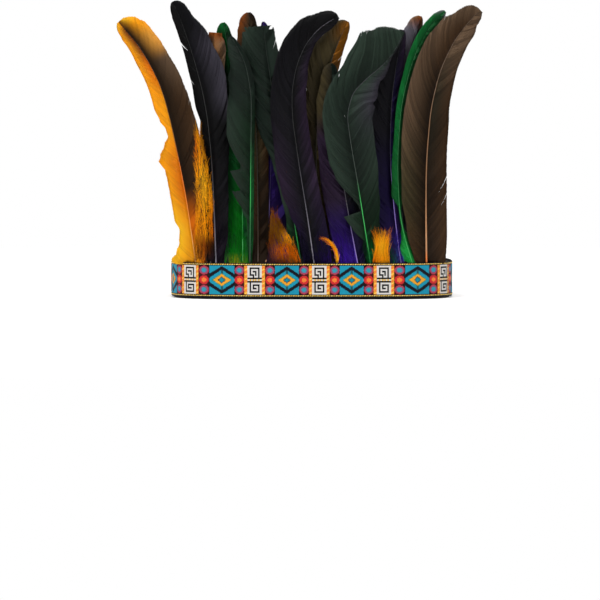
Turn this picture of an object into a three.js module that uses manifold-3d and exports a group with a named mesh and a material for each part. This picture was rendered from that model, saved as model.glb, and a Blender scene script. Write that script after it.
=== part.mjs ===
// A feathered headdress: a patterned ribbon sewn round a black backing band, with dyed rooster
// feathers and downy tufts standing in pockets across its front. Millimetres, +Z up, the front
// faces -Y, and the band rests on its lower edge.
import * as THREE from "three";
import { mergeVertices } from "three/addons/utils/BufferGeometryUtils.js";
import Module from "manifold-3d";

const wasm = await Module();
wasm.setup();

// Driving sizes of the band
const bandWidth = 156; // across the ribbon, ear to ear
const frontDepth = 54; // from the widest place to the forehead
const backDepth = 122; // from the widest place to the back of the head
const frontFullness = 3.4; // superellipse exponents: a flat forehead, a rounder back
const backFullness = 2.4;
const backingHeight = 19.4;
const backingWall = 2.6;
const ribbonHeight = 19;
const ribbonWall = 1;
const ribbonLift = 0.9; // black backing left showing under the ribbon
const seamLap = 14; // the ribbon's ends overlap at the centre back
const seamWall = 0.8; // the extra ply in the lap
const seatGap = 0.3; // clearance between touching pieces

// Driving sizes of the feathers
const quillWidth = 1.8;
const quillThickness = 1.2;
const quillSeat = 13; // length of quill held between the backing and the ribbon
const vaneThickness = 0.8;
const rachisHeight = 0.55; // how far the shaft stands off the vane at its root
const vaneCamber = 1; // how far each vane's edges fall back from its shaft
const layerSpacing = 3; // from one layer of feathers to the next
const frontLayer = -2; // the front layer stands this far before the quills
const layerRise = 18; // height above the band over which the layers part
const longestFeather = 146; // from the band's top edge, along its shaft
const vaneWidth = 10; // a middling vane, from its shaft to its edge
const downLength = 16; // a tuft's longest lock
const curtainRadius = 260; // the feathers stand on one gently curved wall
const backwardLean = 7; // how far that wall leans back at the longest feather's height
const lockHalfThickness = 0.7;
const bladeSteps = 18;
const stemSteps = 6;
const lockSteps = 2;
const bandSteps = 120;

const HALF_WIDTH = bandWidth / 2;
const bandTop = ribbonLift + ribbonHeight;
const pocketDepth = quillThickness + seatGap;

// The kinds of feather. A row is a section at a share of the length: how much of the bow has been
// turned there, and the two vanes' widths as shares of that feather's own widths.
const KINDS = {
  torn: [
    { at: 0, turn: 0, left: 1.5, right: 0.18 },
    { at: 0.08, turn: 0, left: 0.8, right: 0.5 },
    { at: 0.2, turn: 0.03, left: 1, right: 0.65 },
    { at: 0.3, turn: 0.08, left: 0.95, right: 0.8 },
    { at: 0.38, turn: 0.1, left: 1.45, right: 0.9 },
    { at: 0.44, turn: 0.11, left: 1.1, right: 0.93 },
    { at: 0.5, turn: 0.13, left: 0.38, right: 0.95 },
    { at: 0.6, turn: 0.2, left: 0.85, right: 1 },
    { at: 0.8, turn: 0.62, left: 0.78, right: 0.94 },
    { at: 0.93, turn: 0.97, left: 0.6, right: 0.9 },
    { at: 1, turn: 1, left: 0.15, right: 0.3 },
  ],
  spear: [
    { at: 0, turn: 0, left: 0.12, right: 0.3 },
    { at: 0.12, turn: 0, left: 0.9, right: 0.5 },
    { at: 0.3, turn: 0.04, left: 0.75, right: 0.58 },
    { at: 0.5, turn: 0.2, left: 0.45, right: 0.75 },
    { at: 0.6, turn: 0.4, left: 0.72, right: 0.88 },
    { at: 0.7, turn: 0.6, left: 0.62, right: 1 },
    { at: 0.84, turn: 0.75, left: 0.55, right: 0.8 },
    { at: 0.94, turn: 0.9, left: 0.52, right: 0.45 },
    { at: 1, turn: 1, left: 0.08, right: 0.08 },
  ],
  hook: [
    { at: 0, turn: 0, left: 0.34, right: 0.5 },
    { at: 0.1, turn: 0, left: 0.72, right: 0.95 },
    { at: 0.25, turn: -0.02, left: 1, right: 0.95 },
    { at: 0.5, turn: 0, left: 0.93, right: 0.89 },
    { at: 0.6, turn: 0.1, left: 0.9, right: 0.85 },
    { at: 0.7, turn: 0.26, left: 0.9, right: 0.77 },
    { at: 0.8, turn: 0.46, left: 0.94, right: 0.46 },
    { at: 0.88, turn: 0.7, left: 0.86, right: 0.34 },
    { at: 0.95, turn: 0.94, left: 0.55, right: 0.45 },
    { at: 1, turn: 1, left: 0.12, right: 0.15 },
  ],
  sickle: [
    { at: 0, turn: 0, left: 0.15, right: 0.1 },
    { at: 0.08, turn: 0, left: 0.32, right: 0.38 },
    { at: 0.15, turn: 0, left: 0.58, right: 0.55 },
    { at: 0.2, turn: 0, left: 0.14, right: 0.68 },
    { at: 0.25, turn: 0, left: 0.42, right: 0.75 },
    { at: 0.4, turn: -0.02, left: 0.64, right: 0.9 },
    { at: 0.54, turn: 0.02, left: 0.6, right: 0.96 },
    { at: 0.64, turn: 0.4, left: 0.55, right: 1 },
    { at: 0.72, turn: 0.9, left: 0.62, right: 0.85 },
    { at: 0.8, turn: 1, left: 0.95, right: 0.42 },
    { at: 0.9, turn: 0.75, left: 0.95, right: 0.06 },
    { at: 0.96, turn: 0.6, left: 0.7, right: 0.05 },
    { at: 1, turn: 0.55, left: 0.1, right: 0.04 },
  ],
  sabre: [
    { at: 0, turn: 0, left: 0.36, right: 0.9 },
    { at: 0.12, turn: 0, left: 0.7, right: 0.95 },
    { at: 0.25, turn: 0.02, left: 0.9, right: 0.94 },
    { at: 0.5, turn: 0.12, left: 1, right: 0.88 },
    { at: 0.65, turn: 0.3, left: 0.98, right: 0.76 },
    { at: 0.8, turn: 0.56, left: 0.82, right: 0.66 },
    { at: 0.9, turn: 0.82, left: 0.55, right: 0.58 },
    { at: 1, turn: 1, left: 0.1, right: 0.14 },
  ],
  strap: [
    { at: 0, turn: 0, left: 0.3, right: 0.5 },
    { at: 0.1, turn: 0.06, left: 0.75, right: 0.65 },
    { at: 0.25, turn: 0.22, left: 0.72, right: 0.55 },
    { at: 0.5, turn: 0.32, left: 0.55, right: 0.5 },
    { at: 0.7, turn: 0.48, left: 0.75, right: 0.6 },
    { at: 0.88, turn: 0.7, left: 1, right: 0.8 },
    { at: 0.96, turn: 0.92, left: 0.85, right: 0.9 },
    { at: 1, turn: 1, left: 0.2, right: 0.25 },
  ],
  half: [
    { at: 0, turn: 0, left: 0.08, right: 0.4 },
    { at: 0.12, turn: 0, left: 0.2, right: 0.7 },
    { at: 0.25, turn: 0, left: 0.85, right: 0.7 },
    { at: 0.4, turn: 0, left: 1, right: 0.7 },
    { at: 0.65, turn: 0, left: 1, right: 0.8 },
    { at: 0.8, turn: 0.3, left: 0.82, right: 1 },
    { at: 0.92, turn: 0.75, left: 0.5, right: 0.85 },
    { at: 1, turn: 1, left: 0.08, right: 0.2 },
  ],
  square: [
    { at: 0, turn: 0, left: 0.06, right: 0.1 },
    { at: 0.1, turn: 0, left: 0.2, right: 0.4 },
    { at: 0.25, turn: 0, left: 0.3, right: 0.7 },
    { at: 0.41, turn: 0, left: 0.42, right: 0.95 },
    { at: 0.6, turn: 0, left: 0.75, right: 1 },
    { at: 0.7, turn: 0, left: 0.95, right: 1 },
    { at: 0.85, turn: 0.2, left: 1, right: 0.85 },
    { at: 0.97, turn: 0.8, left: 0.82, right: 0.7 },
    { at: 1, turn: 1, left: 0.7, right: 0.6 },
  ],
  leaf: [
    { at: 0, turn: 0, left: 0.2, right: 0.15 },
    { at: 0.1, turn: 0.05, left: 0.6, right: 0.6 },
    { at: 0.3, turn: 0.15, left: 0.95, right: 0.9 },
    { at: 0.6, turn: 0.5, left: 1, right: 1 },
    { at: 0.8, turn: 0.8, left: 0.85, right: 0.9 },
    { at: 0.93, turn: 0.95, left: 0.55, right: 0.65 },
    { at: 1, turn: 1, left: 0.12, right: 0.15 },
  ],
  stem: [
    { at: 0, turn: 0, left: 0.3, right: 0.3 },
    { at: 0.25, turn: 0.1, left: 1, right: 1 },
    { at: 0.6, turn: 0.5, left: 0.8, right: 0.8 },
    { at: 1, turn: 1, left: 0.15, right: 0.15 },
  ],
  lock: [
    { at: 0, turn: 0, left: 0.8, right: 0.8 },
    { at: 0.5, turn: 0.4, left: 1, right: 1 },
    { at: 1, turn: 1, left: 0.2, right: 0.2 },
  ],
};

// The feathers from left to right. Root is where the quill crosses the band's top edge, as a share
// of half the band's width. Length is a share of the longest feather, and left and right are the
// vanes as shares of the vane width. Lean and bow are degrees, with + to the right. Layer 0 is in
// front.
const FEATHERS = [
  { name: "feather_amber_left", kind: "torn", layer: 0, root: -0.817, length: 0.966,
    lean: -8, bow: -34, left: 0.86, right: 1.3, colour: 0x8a5a14 },
  { name: "feather_brown_left", kind: "leaf", layer: 2, root: -0.71, length: 0.863,
    lean: -3, bow: 9, left: 0.44, right: 0.7, colour: 0x6b4a36 },
  { name: "feather_black_left", kind: "spear", layer: 1, root: -0.674, length: 1,
    lean: -2, bow: -22, left: 0.75, right: 1.46, colour: 0x141318 },
  { name: "feather_emerald_left", kind: "leaf", layer: 3, root: -0.486, length: 0.904,
    lean: 0, bow: -11, left: 1.13, right: 0.85, colour: 0x0a5a20 },
  { name: "feather_green_left", kind: "half", layer: 0, root: -0.435, length: 0.863,
    lean: 0.5, bow: -36, left: 1.4, right: 0.26, colour: 0x29361f },
  { name: "feather_olive_left", kind: "leaf", layer: 2, root: -0.378, length: 0.938,
    lean: 0, bow: -5, left: 1.25, right: 0.66, colour: 0x3a2f1a },
  { name: "feather_violet_left", kind: "leaf", layer: 3, root: -0.323, length: 0.904,
    lean: 4, bow: -11, left: 0.4, right: 0.55, colour: 0x2f1155 },
  { name: "feather_green_middle", kind: "square", layer: 1, root: -0.077, length: 0.897,
    lean: -9.5, bow: 6, left: 1.55, right: 0.8, colour: 0x27332a },
  { name: "feather_black_middle", kind: "hook", layer: 0, root: 0.014, length: 0.993,
    lean: -8, bow: 70, left: 1.34, right: 0.91, colour: 0x151219 },
  { name: "feather_olive_middle", kind: "leaf", layer: 2, root: 0.119, length: 0.925,
    lean: -11, bow: 36, left: 1.5, right: 0.58, colour: 0x3c3620 },
  { name: "feather_plum_middle", kind: "leaf", layer: 1, root: 0.319, length: 0.753,
    lean: -11, bow: 8, left: 1.15, right: 0.6, colour: 0x24161f },
  { name: "feather_green_sickle", kind: "sickle", layer: 0, root: 0.409, length: 0.945,
    lean: -9, bow: 60, left: 2.18, right: 1.44, colour: 0x27312b },
  { name: "feather_violet_right", kind: "leaf", layer: 2, root: 0.623, length: 0.877,
    lean: -8, bow: 20, left: 1.3, right: 0.5, colour: 0x1c0e3a },
  { name: "feather_grey_right", kind: "leaf", layer: 3, root: 0.663, length: 0.932,
    lean: -6, bow: 22, left: 0.8, right: 0.46, colour: 0x4e4450 },
  { name: "feather_emerald_right", kind: "strap", layer: 1, root: 0.703, length: 0.993,
    lean: -18, bow: 68, left: 0.41, right: 0.39, colour: 0x16692f },
  { name: "feather_brown_right", kind: "sabre", layer: 0, root: 0.804, length: 1,
    lean: -0.7, bow: 48, left: 1.54, right: 1.22, colour: 0x3a2c1c },
];

// The downy tufts: a short stem with pairs of locks fused to it, fanned about its lean. The lowest
// pair starts at the share first, out at the head's half width, and higher pairs start nearer in.
// Length is a share of the longest feather, lockLength of the down's, and widths of the vane's.
const TUFTS = [
  { name: "tuft_amber_left", root: -0.745, length: 0.507, lean: -1, bow: -6, stem: 0.3, head: 0.1,
    pairs: 8, first: 0.16, lockLength: 1, fan: 19, lockWidth: 0.22, colour: 0xd98018 },
  { name: "tuft_orange_middle", root: -0.195, length: 0.192, lean: -13, bow: 2, stem: 0.5, head: 0.6,
    pairs: 5, first: 0, lockLength: 0.812, fan: 2, lockWidth: 0.22, colour: 0xb5601a },
  { name: "tuft_yellow_curl", root: 0.176, length: 0.13, lean: -2, bow: -85, stem: 0.09, head: 0,
    pairs: 1, first: 0.66, lockLength: 0.375, fan: 10, lockWidth: 0.06, colour: 0xf0a020 },
  { name: "tuft_orange_right", root: 0.487, length: 0.13, lean: 1, bow: 0, stem: 0.3, head: 0.26,
    pairs: 4, first: 0, lockLength: 0.812, fan: 14, lockWidth: 0.16, colour: 0xf59010 },
];
const tuftLayer = -1;

// The band's plan, clockwise from the centre back as seen from above, as a closed curve
class BandPlan extends THREE.Curve {
  getPoint(share, target = new THREE.Vector3()) {
    const angle = Math.PI / 2 - share * 2 * Math.PI;
    const depth = Math.sin(angle) < 0 ? frontDepth : backDepth;
    const power = 2 / (Math.sin(angle) < 0 ? frontFullness : backFullness);
    const x = HALF_WIDTH * Math.sign(Math.cos(angle)) * Math.abs(Math.cos(angle)) ** power;
    const y = depth * Math.sign(Math.sin(angle)) * Math.abs(Math.sin(angle)) ** power;
    return target.set(x, y, 0);
  }
}
const plan = new BandPlan();
plan.arcLengthDivisions = 2000;

// The y of a line that runs behind the ribbon's outer face at a distance from it. Past the share
// the ribbon turns the corner, and the feathers go straight on.
const cornerShare = 0.86;
const cornerSlope = 0.45;
function behindFace(x, distance) {
  const share = Math.min(Math.abs(x) / HALF_WIDTH, cornerShare);
  const reach = (1 - share ** frontFullness) ** (1 / frontFullness);
  const slope = (frontDepth / HALF_WIDTH) * (share / reach) ** (frontFullness - 1);
  const pastCorner = Math.max(0, Math.abs(x) - cornerShare * HALF_WIDTH);
  return -frontDepth * reach + distance * Math.hypot(1, slope) + pastCorner * cornerSlope;
}

function smoothStep(share) {
  const s = THREE.MathUtils.clamp(share, 0, 1);
  return s * s * (3 - 2 * s);
}

// The quills' middle plane inside the band, and the curved wall of a layer above it
function wallDepth(x, z, layer) {
  const behind = ribbonWall + seatGap + quillThickness / 2;
  const inBand = behindFace(x, behind);
  if (z <= bandTop) return inBand;
  const rise = z - bandTop;
  const curtain = -frontDepth + behind + (x * x) / (2 * curtainRadius);
  const lean = backwardLean * (rise / longestFeather) ** 2;
  const onCurtain = THREE.MathUtils.lerp(inBand, curtain, smoothStep(rise / layerRise));
  const parted = 1 - (1 - Math.min(rise / layerRise, 1)) ** 3;
  return onCurtain + lean + parted * (frontLayer + layer * layerSpacing);
}

// A column of a kind's table at a share of the length, eased between its rows
function columnAt(rows, column, share) {
  const above = Math.max(1, rows.findIndex((row) => row.at >= share));
  const [a, b] = [rows[above - 1], rows[above]];
  const part = (share - a.at) / (b.at - a.at);
  return THREE.MathUtils.lerp(a[column], b[column], smoothStep(part));
}

// A closed skin through rings of equal point counts, capped at both ends
function loftRings(rings) {
  const count = rings[0].length;
  const points = rings.flat();
  const faces = [];
  for (let r = 0; r + 1 < rings.length; r++) {
    for (let i = 0; i < count; i++) {
      const a = r * count + i;
      const b = r * count + ((i + 1) % count);
      faces.push(a, b, b + count, a, b + count, a + count);
    }
  }
  // The caps fan from the middle of the back, which lies in line with none of the front's points
  const last = (rings.length - 1) * count;
  const hub = count - 2;
  for (let i = 1; i + 1 < count; i++) {
    const a = (hub + i) % count;
    const b = (hub + i + 1) % count;
    faces.push(hub, b, a);
    faces.push(last + hub, last + a, last + b);
  }
  const geometry = new THREE.BufferGeometry().setFromPoints(points);
  geometry.setIndex(faces);
  return geometry;
}

// One flat ring across a blade: the front face with its raised shaft, then the back face
function bladeRing(centre, angle, layer, size) {
  const across = { x: Math.cos(angle), z: -Math.sin(angle) };
  const half = size.thickness / 2;
  const point = (offset, fallBack, side) => {
    const x = centre.x + offset * across.x;
    const z = centre.z + offset * across.z;
    const depth = size.flat ? wallDepth(x, bandTop, layer) : wallDepth(x, z, layer);
    return new THREE.Vector3(x, depth + fallBack + side * half, z);
  };
  const shaft = Math.min(size.shaft, size.left, size.right);
  const camber = size.camber;
  return [
    point(-size.left, camber, -1),
    point(-shaft, camber * 0.05, -1),
    point(0, -size.ridge, -1),
    point(shaft, camber * 0.05, -1),
    point(size.right, camber, -1),
    point(size.right, camber, 1),
    point(0, 0, 1),
    point(-size.left, camber, 1),
  ];
}

// A lock's ring: a thin diamond
function lockRing(centre, angle, halfWidth) {
  const corners = [[-1, 0], [0, -1], [1, 0], [0, 1]];
  return corners.map(([side, out]) => {
    const x = centre.x + side * halfWidth * Math.cos(angle);
    const z = centre.z - side * halfWidth * Math.sin(angle);
    const depth = wallDepth(x, z, tuftLayer) + out * lockHalfThickness;
    return new THREE.Vector3(x, depth, z);
  });
}

// The shaft's line: it starts at the root and turns from its lean through its bow
function shaftLine(spec, length, rows, steps, start) {
  const stations = [];
  const fine = 12;
  let { x, z } = start;
  for (let i = 0; i <= steps * fine; i++) {
    const share = i / (steps * fine);
    const turned = spec.lean + spec.bow * columnAt(rows, "turn", share);
    const angle = THREE.MathUtils.degToRad(turned);
    if (i % fine === 0) stations.push({ share, angle, centre: { x, z } });
    x += (Math.sin(angle) * length) / (steps * fine);
    z += (Math.cos(angle) * length) / (steps * fine);
  }
  return stations;
}

// The quill's rings, from its cut end up to the band's top edge; grown is the pocket's clearance
function quillRings(root, lean, grown, frontRoom) {
  const angle = THREE.MathUtils.degToRad(lean);
  const size = {
    left: quillWidth / 2 + grown, right: quillWidth / 2 + grown, shaft: quillWidth / 4,
    ridge: 0, camber: 0, thickness: quillThickness, flat: true,
  };
  const bottom = quillSeat + grown;
  const top = seatGap / 2 + grown;
  return [-bottom, -bottom / 2, top].map((along) => {
    const centre = { x: root + along * Math.sin(angle), z: bandTop + along * Math.cos(angle) };
    const ring = bladeRing(centre, angle, 0, size);
    ring.forEach((p, i) => {
      p.y += i < 5 ? -frontRoom : grown;
      if (along === top) p.z = bandTop + top;
    });
    return ring;
  });
}

function featherGeometry(feather) {
  const rows = KINDS[feather.kind];
  const root = feather.root * HALF_WIDTH;
  const start = { x: root, z: bandTop + seatGap };
  const length = feather.length * longestFeather;
  const stations = shaftLine(feather, length, rows, bladeSteps, start);
  const rings = stations.map(({ share, angle, centre }) => {
    const opened = smoothStep(share * bladeSteps * 0.5);
    const ring = bladeRing(centre, angle, feather.layer, {
      left: feather.left * vaneWidth * columnAt(rows, "left", share),
      right: feather.right * vaneWidth * columnAt(rows, "right", share),
      shaft: quillWidth / 2,
      ridge: rachisHeight * (1 - 0.8 * share),
      camber: vaneCamber * opened,
      thickness: vaneThickness,
      flat: false,
    });
    // The first ring lies level just over the band, whatever the feather's lean
    if (share === 0) ring.forEach((p) => { p.z = centre.z; });
    return ring;
  });
  return loftRings([...quillRings(root, feather.lean, 0, 0), ...rings]);
}

function solidOf(geometry) {
  const bare = geometry.clone();
  bare.deleteAttribute("normal");
  bare.deleteAttribute("uv");
  const merged = mergeVertices(bare, 1e-4);
  return new wasm.Manifold(new wasm.Mesh({
    numProp: 3,
    vertProperties: merged.attributes.position.array,
    triVerts: new Uint32Array(merged.index.array),
  }));
}

function geometryOf(solid) {
  const mesh = solid.getMesh();
  const geometry = new THREE.BufferGeometry();
  geometry.setAttribute("position", new THREE.BufferAttribute(mesh.vertProperties, 3));
  geometry.setIndex(new THREE.BufferAttribute(mesh.triVerts, 1));
  return geometry;
}

// A lock is a small blade that starts on the tuft's shaft and turns outward
function lockSolid(start, lean, length, width) {
  const rows = KINDS.lock;
  const stations = shaftLine({ lean, bow: lean * 0.3 }, length, rows, lockSteps, start);
  const rings = stations.map(({ share, angle, centre }) =>
    lockRing(centre, angle, width * columnAt(rows, "left", share)));
  return solidOf(loftRings(rings));
}

function tuftGeometry(tuft) {
  const root = tuft.root * HALF_WIDTH;
  const rows = KINDS.stem;
  const start = { x: root, z: bandTop + seatGap };
  const stations = shaftLine(tuft, tuft.length * longestFeather, rows, stemSteps, start);
  const rings = stations.map(({ share, angle, centre }) => {
    const width = tuft.stem * vaneWidth * columnAt(rows, "left", share);
    const ring = bladeRing(centre, angle, tuftLayer, {
      left: width, right: width, shaft: quillWidth / 2, ridge: 0.2, camber: 0.2,
      thickness: vaneThickness, flat: false,
    });
    if (share === 0) ring.forEach((p) => { p.z = centre.z; });
    return ring;
  });
  let solid = solidOf(loftRings([...quillRings(root, tuft.lean, 0, 0), ...rings]));
  for (let i = 0; i < tuft.pairs; i++) {
    const climb = i / tuft.pairs;
    const along = tuft.first + (1 - tuft.first) * climb;
    const from = stations[Math.round(along * stemSteps)];
    for (const side of [-1, 1]) {
      const aside = side * tuft.head * vaneWidth * (1 - climb);
      const lean = THREE.MathUtils.radToDeg(from.angle) + side * tuft.fan;
      const base = { x: from.centre.x + aside, z: from.centre.z };
      const length = tuft.lockLength * downLength * (1 - 0.35 * climb);
      solid = solid.add(lockSolid(base, lean, length, tuft.lockWidth * vaneWidth));
    }
  }
  return geometryOf(solid);
}

// A wall swept round the plan. The section's rows give an offset in from the ribbon's outer face
// and a height, clockwise as seen with the band's outside on the left.
function bandGeometry(section, stationShares, extraAt) {
  const points = [];
  const faces = [];
  const count = section.length;
  for (const share of stationShares) {
    const p = plan.getPointAt(share % 1);
    const t = plan.getTangentAt(share % 1);
    const inward = new THREE.Vector3(t.y, -t.x, 0);
    for (const { offset, z } of section) {
      const inset = offset - (offset < ribbonWall / 2 ? extraAt(share) : 0);
      points.push(p.clone().addScaledVector(inward, inset).setZ(z));
    }
  }
  const total = stationShares.length;
  for (let s = 0; s < total; s++) {
    for (let i = 0; i < count; i++) {
      const a = s * count + i;
      const b = s * count + ((i + 1) % count);
      const c = ((s + 1) % total) * count + ((i + 1) % count);
      const d = ((s + 1) % total) * count + i;
      faces.push(a, b, c, a, c, d);
    }
  }
  const geometry = new THREE.BufferGeometry().setFromPoints(points);
  geometry.setIndex(faces);
  return geometry;
}

// A wall's square-cut section
function wallSection(outer, inner, low, high) {
  return [
    { offset: outer, z: low },
    { offset: outer, z: high },
    { offset: inner, z: high },
    { offset: inner, z: low },
  ];
}

function ribbonGeometry() {
  const half = seamLap / 2 / plan.getLength();
  const step = seamWall / plan.getLength();
  const even = Array.from({ length: bandSteps }, (_, i) => i / bandSteps);
  const clear = even.filter((s) => Math.min(s, 1 - s) > half + 2 * step);
  const shares = [0, half, half + step, ...clear, 1 - half - step, 1 - half];
  const lap = (share) => (Math.min(share, 1 - share) < half + step / 2 ? seamWall : 0);
  return bandGeometry(wallSection(0, ribbonWall, ribbonLift, bandTop), shares, lap);
}

function backingGeometry() {
  const outer = ribbonWall + seatGap;
  const shares = Array.from({ length: bandSteps }, (_, i) => i / bandSteps);
  const section = wallSection(outer, outer + backingWall, 0, backingHeight);
  let solid = solidOf(bandGeometry(section, shares, () => 0));
  for (const piece of [...FEATHERS, ...TUFTS]) {
    const rings = quillRings(piece.root * HALF_WIDTH, piece.lean, seatGap, pocketDepth);
    solid = solid.subtract(solidOf(loftRings(rings)));
  }
  return geometryOf(solid);
}

function addPiece(group, name, geometry, colour, roughness) {
  const material = new THREE.MeshStandardMaterial({ color: colour, roughness, metalness: 0 });
  const mesh = new THREE.Mesh(geometry, material);
  mesh.name = name;
  group.add(mesh);
}

const headdress = new THREE.Group();
addPiece(headdress, "band_backing", backingGeometry(), 0x121113, 0.95);
addPiece(headdress, "woven_ribbon", ribbonGeometry(), 0xb04a30, 0.7);
for (const feather of FEATHERS) {
  addPiece(headdress, feather.name, featherGeometry(feather), feather.colour, 0.5);
}
for (const tuft of TUFTS) {
  addPiece(headdress, tuft.name, tuftGeometry(tuft), tuft.colour, 0.8);
}

// The origin is under the middle of the whole object, at the band's lower edge
const extent = new THREE.Box3().setFromObject(headdress);
const middle = extent.getCenter(new THREE.Vector3());
headdress.position.set(-middle.x, -middle.y, -extent.min.z);

export default headdress;
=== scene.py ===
# %% [markdown]
# # A feathered headdress
# A woven ribbon is sewn round a black felt band, and sixteen dyed rooster feathers and four downy
# tufts stand behind the ribbon across the forehead. This lesson builds the looks of each piece on
# the plain solids of the imported part: the feathers barb by barb, the ribbon thread by thread.
#
# The imported part is loaded first, and stays where it is. Its box is kept.

import bpy
import numpy as np
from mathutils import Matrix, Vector


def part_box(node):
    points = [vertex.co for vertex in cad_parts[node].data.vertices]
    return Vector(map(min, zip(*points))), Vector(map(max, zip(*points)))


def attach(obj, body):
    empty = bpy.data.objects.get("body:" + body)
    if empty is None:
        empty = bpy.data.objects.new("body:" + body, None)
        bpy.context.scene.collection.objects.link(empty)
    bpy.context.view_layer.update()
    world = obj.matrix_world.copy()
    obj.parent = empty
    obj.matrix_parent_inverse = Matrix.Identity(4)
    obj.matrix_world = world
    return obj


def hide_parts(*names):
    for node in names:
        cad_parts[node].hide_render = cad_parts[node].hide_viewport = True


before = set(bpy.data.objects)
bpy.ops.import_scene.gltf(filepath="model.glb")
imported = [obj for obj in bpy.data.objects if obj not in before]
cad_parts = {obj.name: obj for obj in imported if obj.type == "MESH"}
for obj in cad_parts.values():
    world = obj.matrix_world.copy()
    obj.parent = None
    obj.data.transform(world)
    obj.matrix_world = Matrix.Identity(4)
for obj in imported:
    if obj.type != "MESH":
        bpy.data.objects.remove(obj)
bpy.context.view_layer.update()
bpy.ops.object.select_all(action="DESELECT")
print("nodes:", len(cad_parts))

# %% [markdown]
# ## Where the band lies
# The feathers were set out from the middle of the band, in millimetres. The ribbon's box gives
# that middle, the band's half width and its top edge, so every place below comes from the frame.

# %% Read the band's place from the frame
MM = 0.001
ribbon_low, ribbon_high = (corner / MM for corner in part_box("woven_ribbon"))
FRONT_DEPTH = 54
BACK_DEPTH = 122
HALF_WIDTH = (ribbon_high.x - ribbon_low.x) / 2
BAND_TOP = ribbon_high.z
MIDDLE = np.array([(ribbon_low.x + ribbon_high.x) / 2, ribbon_low.y + FRONT_DEPTH, 0])
print("half width", round(HALF_WIDTH, 2), "band top", round(BAND_TOP, 2))


def to_frame(points):
    """Places in millimetres from the band's middle, as metres in the frame."""
    return (points + MIDDLE) * MM


# %% [markdown]
# ## The wall that the feathers stand on
# Each quill sits just behind the ribbon's face, so at the band the feathers follow its curve. Above
# it they stand on one gently bent wall that leans back, in four layers three millimetres apart.
# The same formulas shaped the solids, so the fine feathers land where the plain ones are.

# %% The band's front curve and the layers above it
FRONT_FULLNESS = 3.4
BACK_FULLNESS = 2.4
RIBBON_WALL = 1.0
SEAT_GAP = 0.3
QUILL_THICKNESS = 1.2
QUILL_WIDTH = 1.8
QUILL_SEAT = 13
CORNER_SHARE = 0.86
CORNER_SLOPE = 0.45
LAYER_RISE = 18
LAYER_SPACING = 3
FRONT_LAYER = -2
CURTAIN_RADIUS = 260
BACKWARD_LEAN = 7
LONGEST_FEATHER = 146
VANE_WIDTH = 10


def smooth_step(share):
    share = np.clip(share, 0, 1)
    return share * share * (3 - 2 * share)


def behind_face(x, distance):
    """The y of a line that runs behind the ribbon's face; past the corner it goes straight on."""
    share = np.minimum(np.abs(x) / HALF_WIDTH, CORNER_SHARE)
    reach = (1 - share**FRONT_FULLNESS) ** (1 / FRONT_FULLNESS)
    slope = (FRONT_DEPTH / HALF_WIDTH) * (share / reach) ** (FRONT_FULLNESS - 1)
    past = np.maximum(0, np.abs(x) - CORNER_SHARE * HALF_WIDTH)
    return -FRONT_DEPTH * reach + distance * np.hypot(1, slope) + past * CORNER_SLOPE


def wall_depth(x, z, layer):
    """The y of a layer of feathers at a place seen from the front."""
    behind = RIBBON_WALL + SEAT_GAP + QUILL_THICKNESS / 2
    in_band = behind_face(x, behind)
    rise = np.maximum(0, z - BAND_TOP)
    curtain = -FRONT_DEPTH + behind + x * x / (2 * CURTAIN_RADIUS)
    part = smooth_step(rise / LAYER_RISE)
    parted = 1 - (1 - np.minimum(rise / LAYER_RISE, 1)) ** 3
    lean = BACKWARD_LEAN * (rise / LONGEST_FEATHER) ** 2
    on_curtain = in_band + (curtain - in_band) * part
    return on_curtain + lean + parted * (FRONT_LAYER + layer * LAYER_SPACING)


# %% [markdown]
# ## Colour and node helpers
# A dyer's colour card is written in sRGB hex, and the shaders work in linear light, so one function
# turns the one into the other. One small function adds a shader node with its settings and links.

# %% Helpers for materials
def linear(code):
    """The linear colour of an sRGB hex code."""
    parts = [int(code[i : i + 2], 16) / 255 for i in (1, 3, 5)]
    return [p / 12.92 if p <= 0.04045 else ((p + 0.055) / 1.055) ** 2.4 for p in parts] + [1.0]


def add_node(tree, kind, inputs=None, **settings):
    """A new node; an input is given a value, or linked if it is given another node's output."""
    node = tree.nodes.new(kind)
    for name, value in settings.items():
        setattr(node, name, value)
    for socket, value in (inputs or {}).items():
        if isinstance(value, bpy.types.NodeSocket):
            tree.links.new(value, node.inputs[socket])
        else:
            node.inputs[socket].default_value = value
    return node


def new_material(name, **surface):
    """A material with its Principled shader, whose plain values are set on its own sockets."""
    material = bpy.data.materials.new(name)
    material.use_nodes = True
    shader = material.node_tree.nodes["Principled BSDF"]
    for socket, value in surface.items():
        shader.inputs[socket.replace("_", " ")].default_value = value
    return material, material.node_tree, shader


def blend(tree, share, first, second):
    """The colour between two colours, at a share of the way from the first to the second."""
    colours = {"Factor": share, 6: first, 7: second}
    return add_node(tree, "ShaderNodeMix", colours, data_type="RGBA").outputs[2]


# %% [markdown]
# ## The feathers' sizes
# A row of a kind's table is a section at a share of the feather's length: how much of the bow has
# been turned there, and the widths of the left and right vanes. The list of feathers runs from left
# to right, with the same sizes as the solids.

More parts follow.
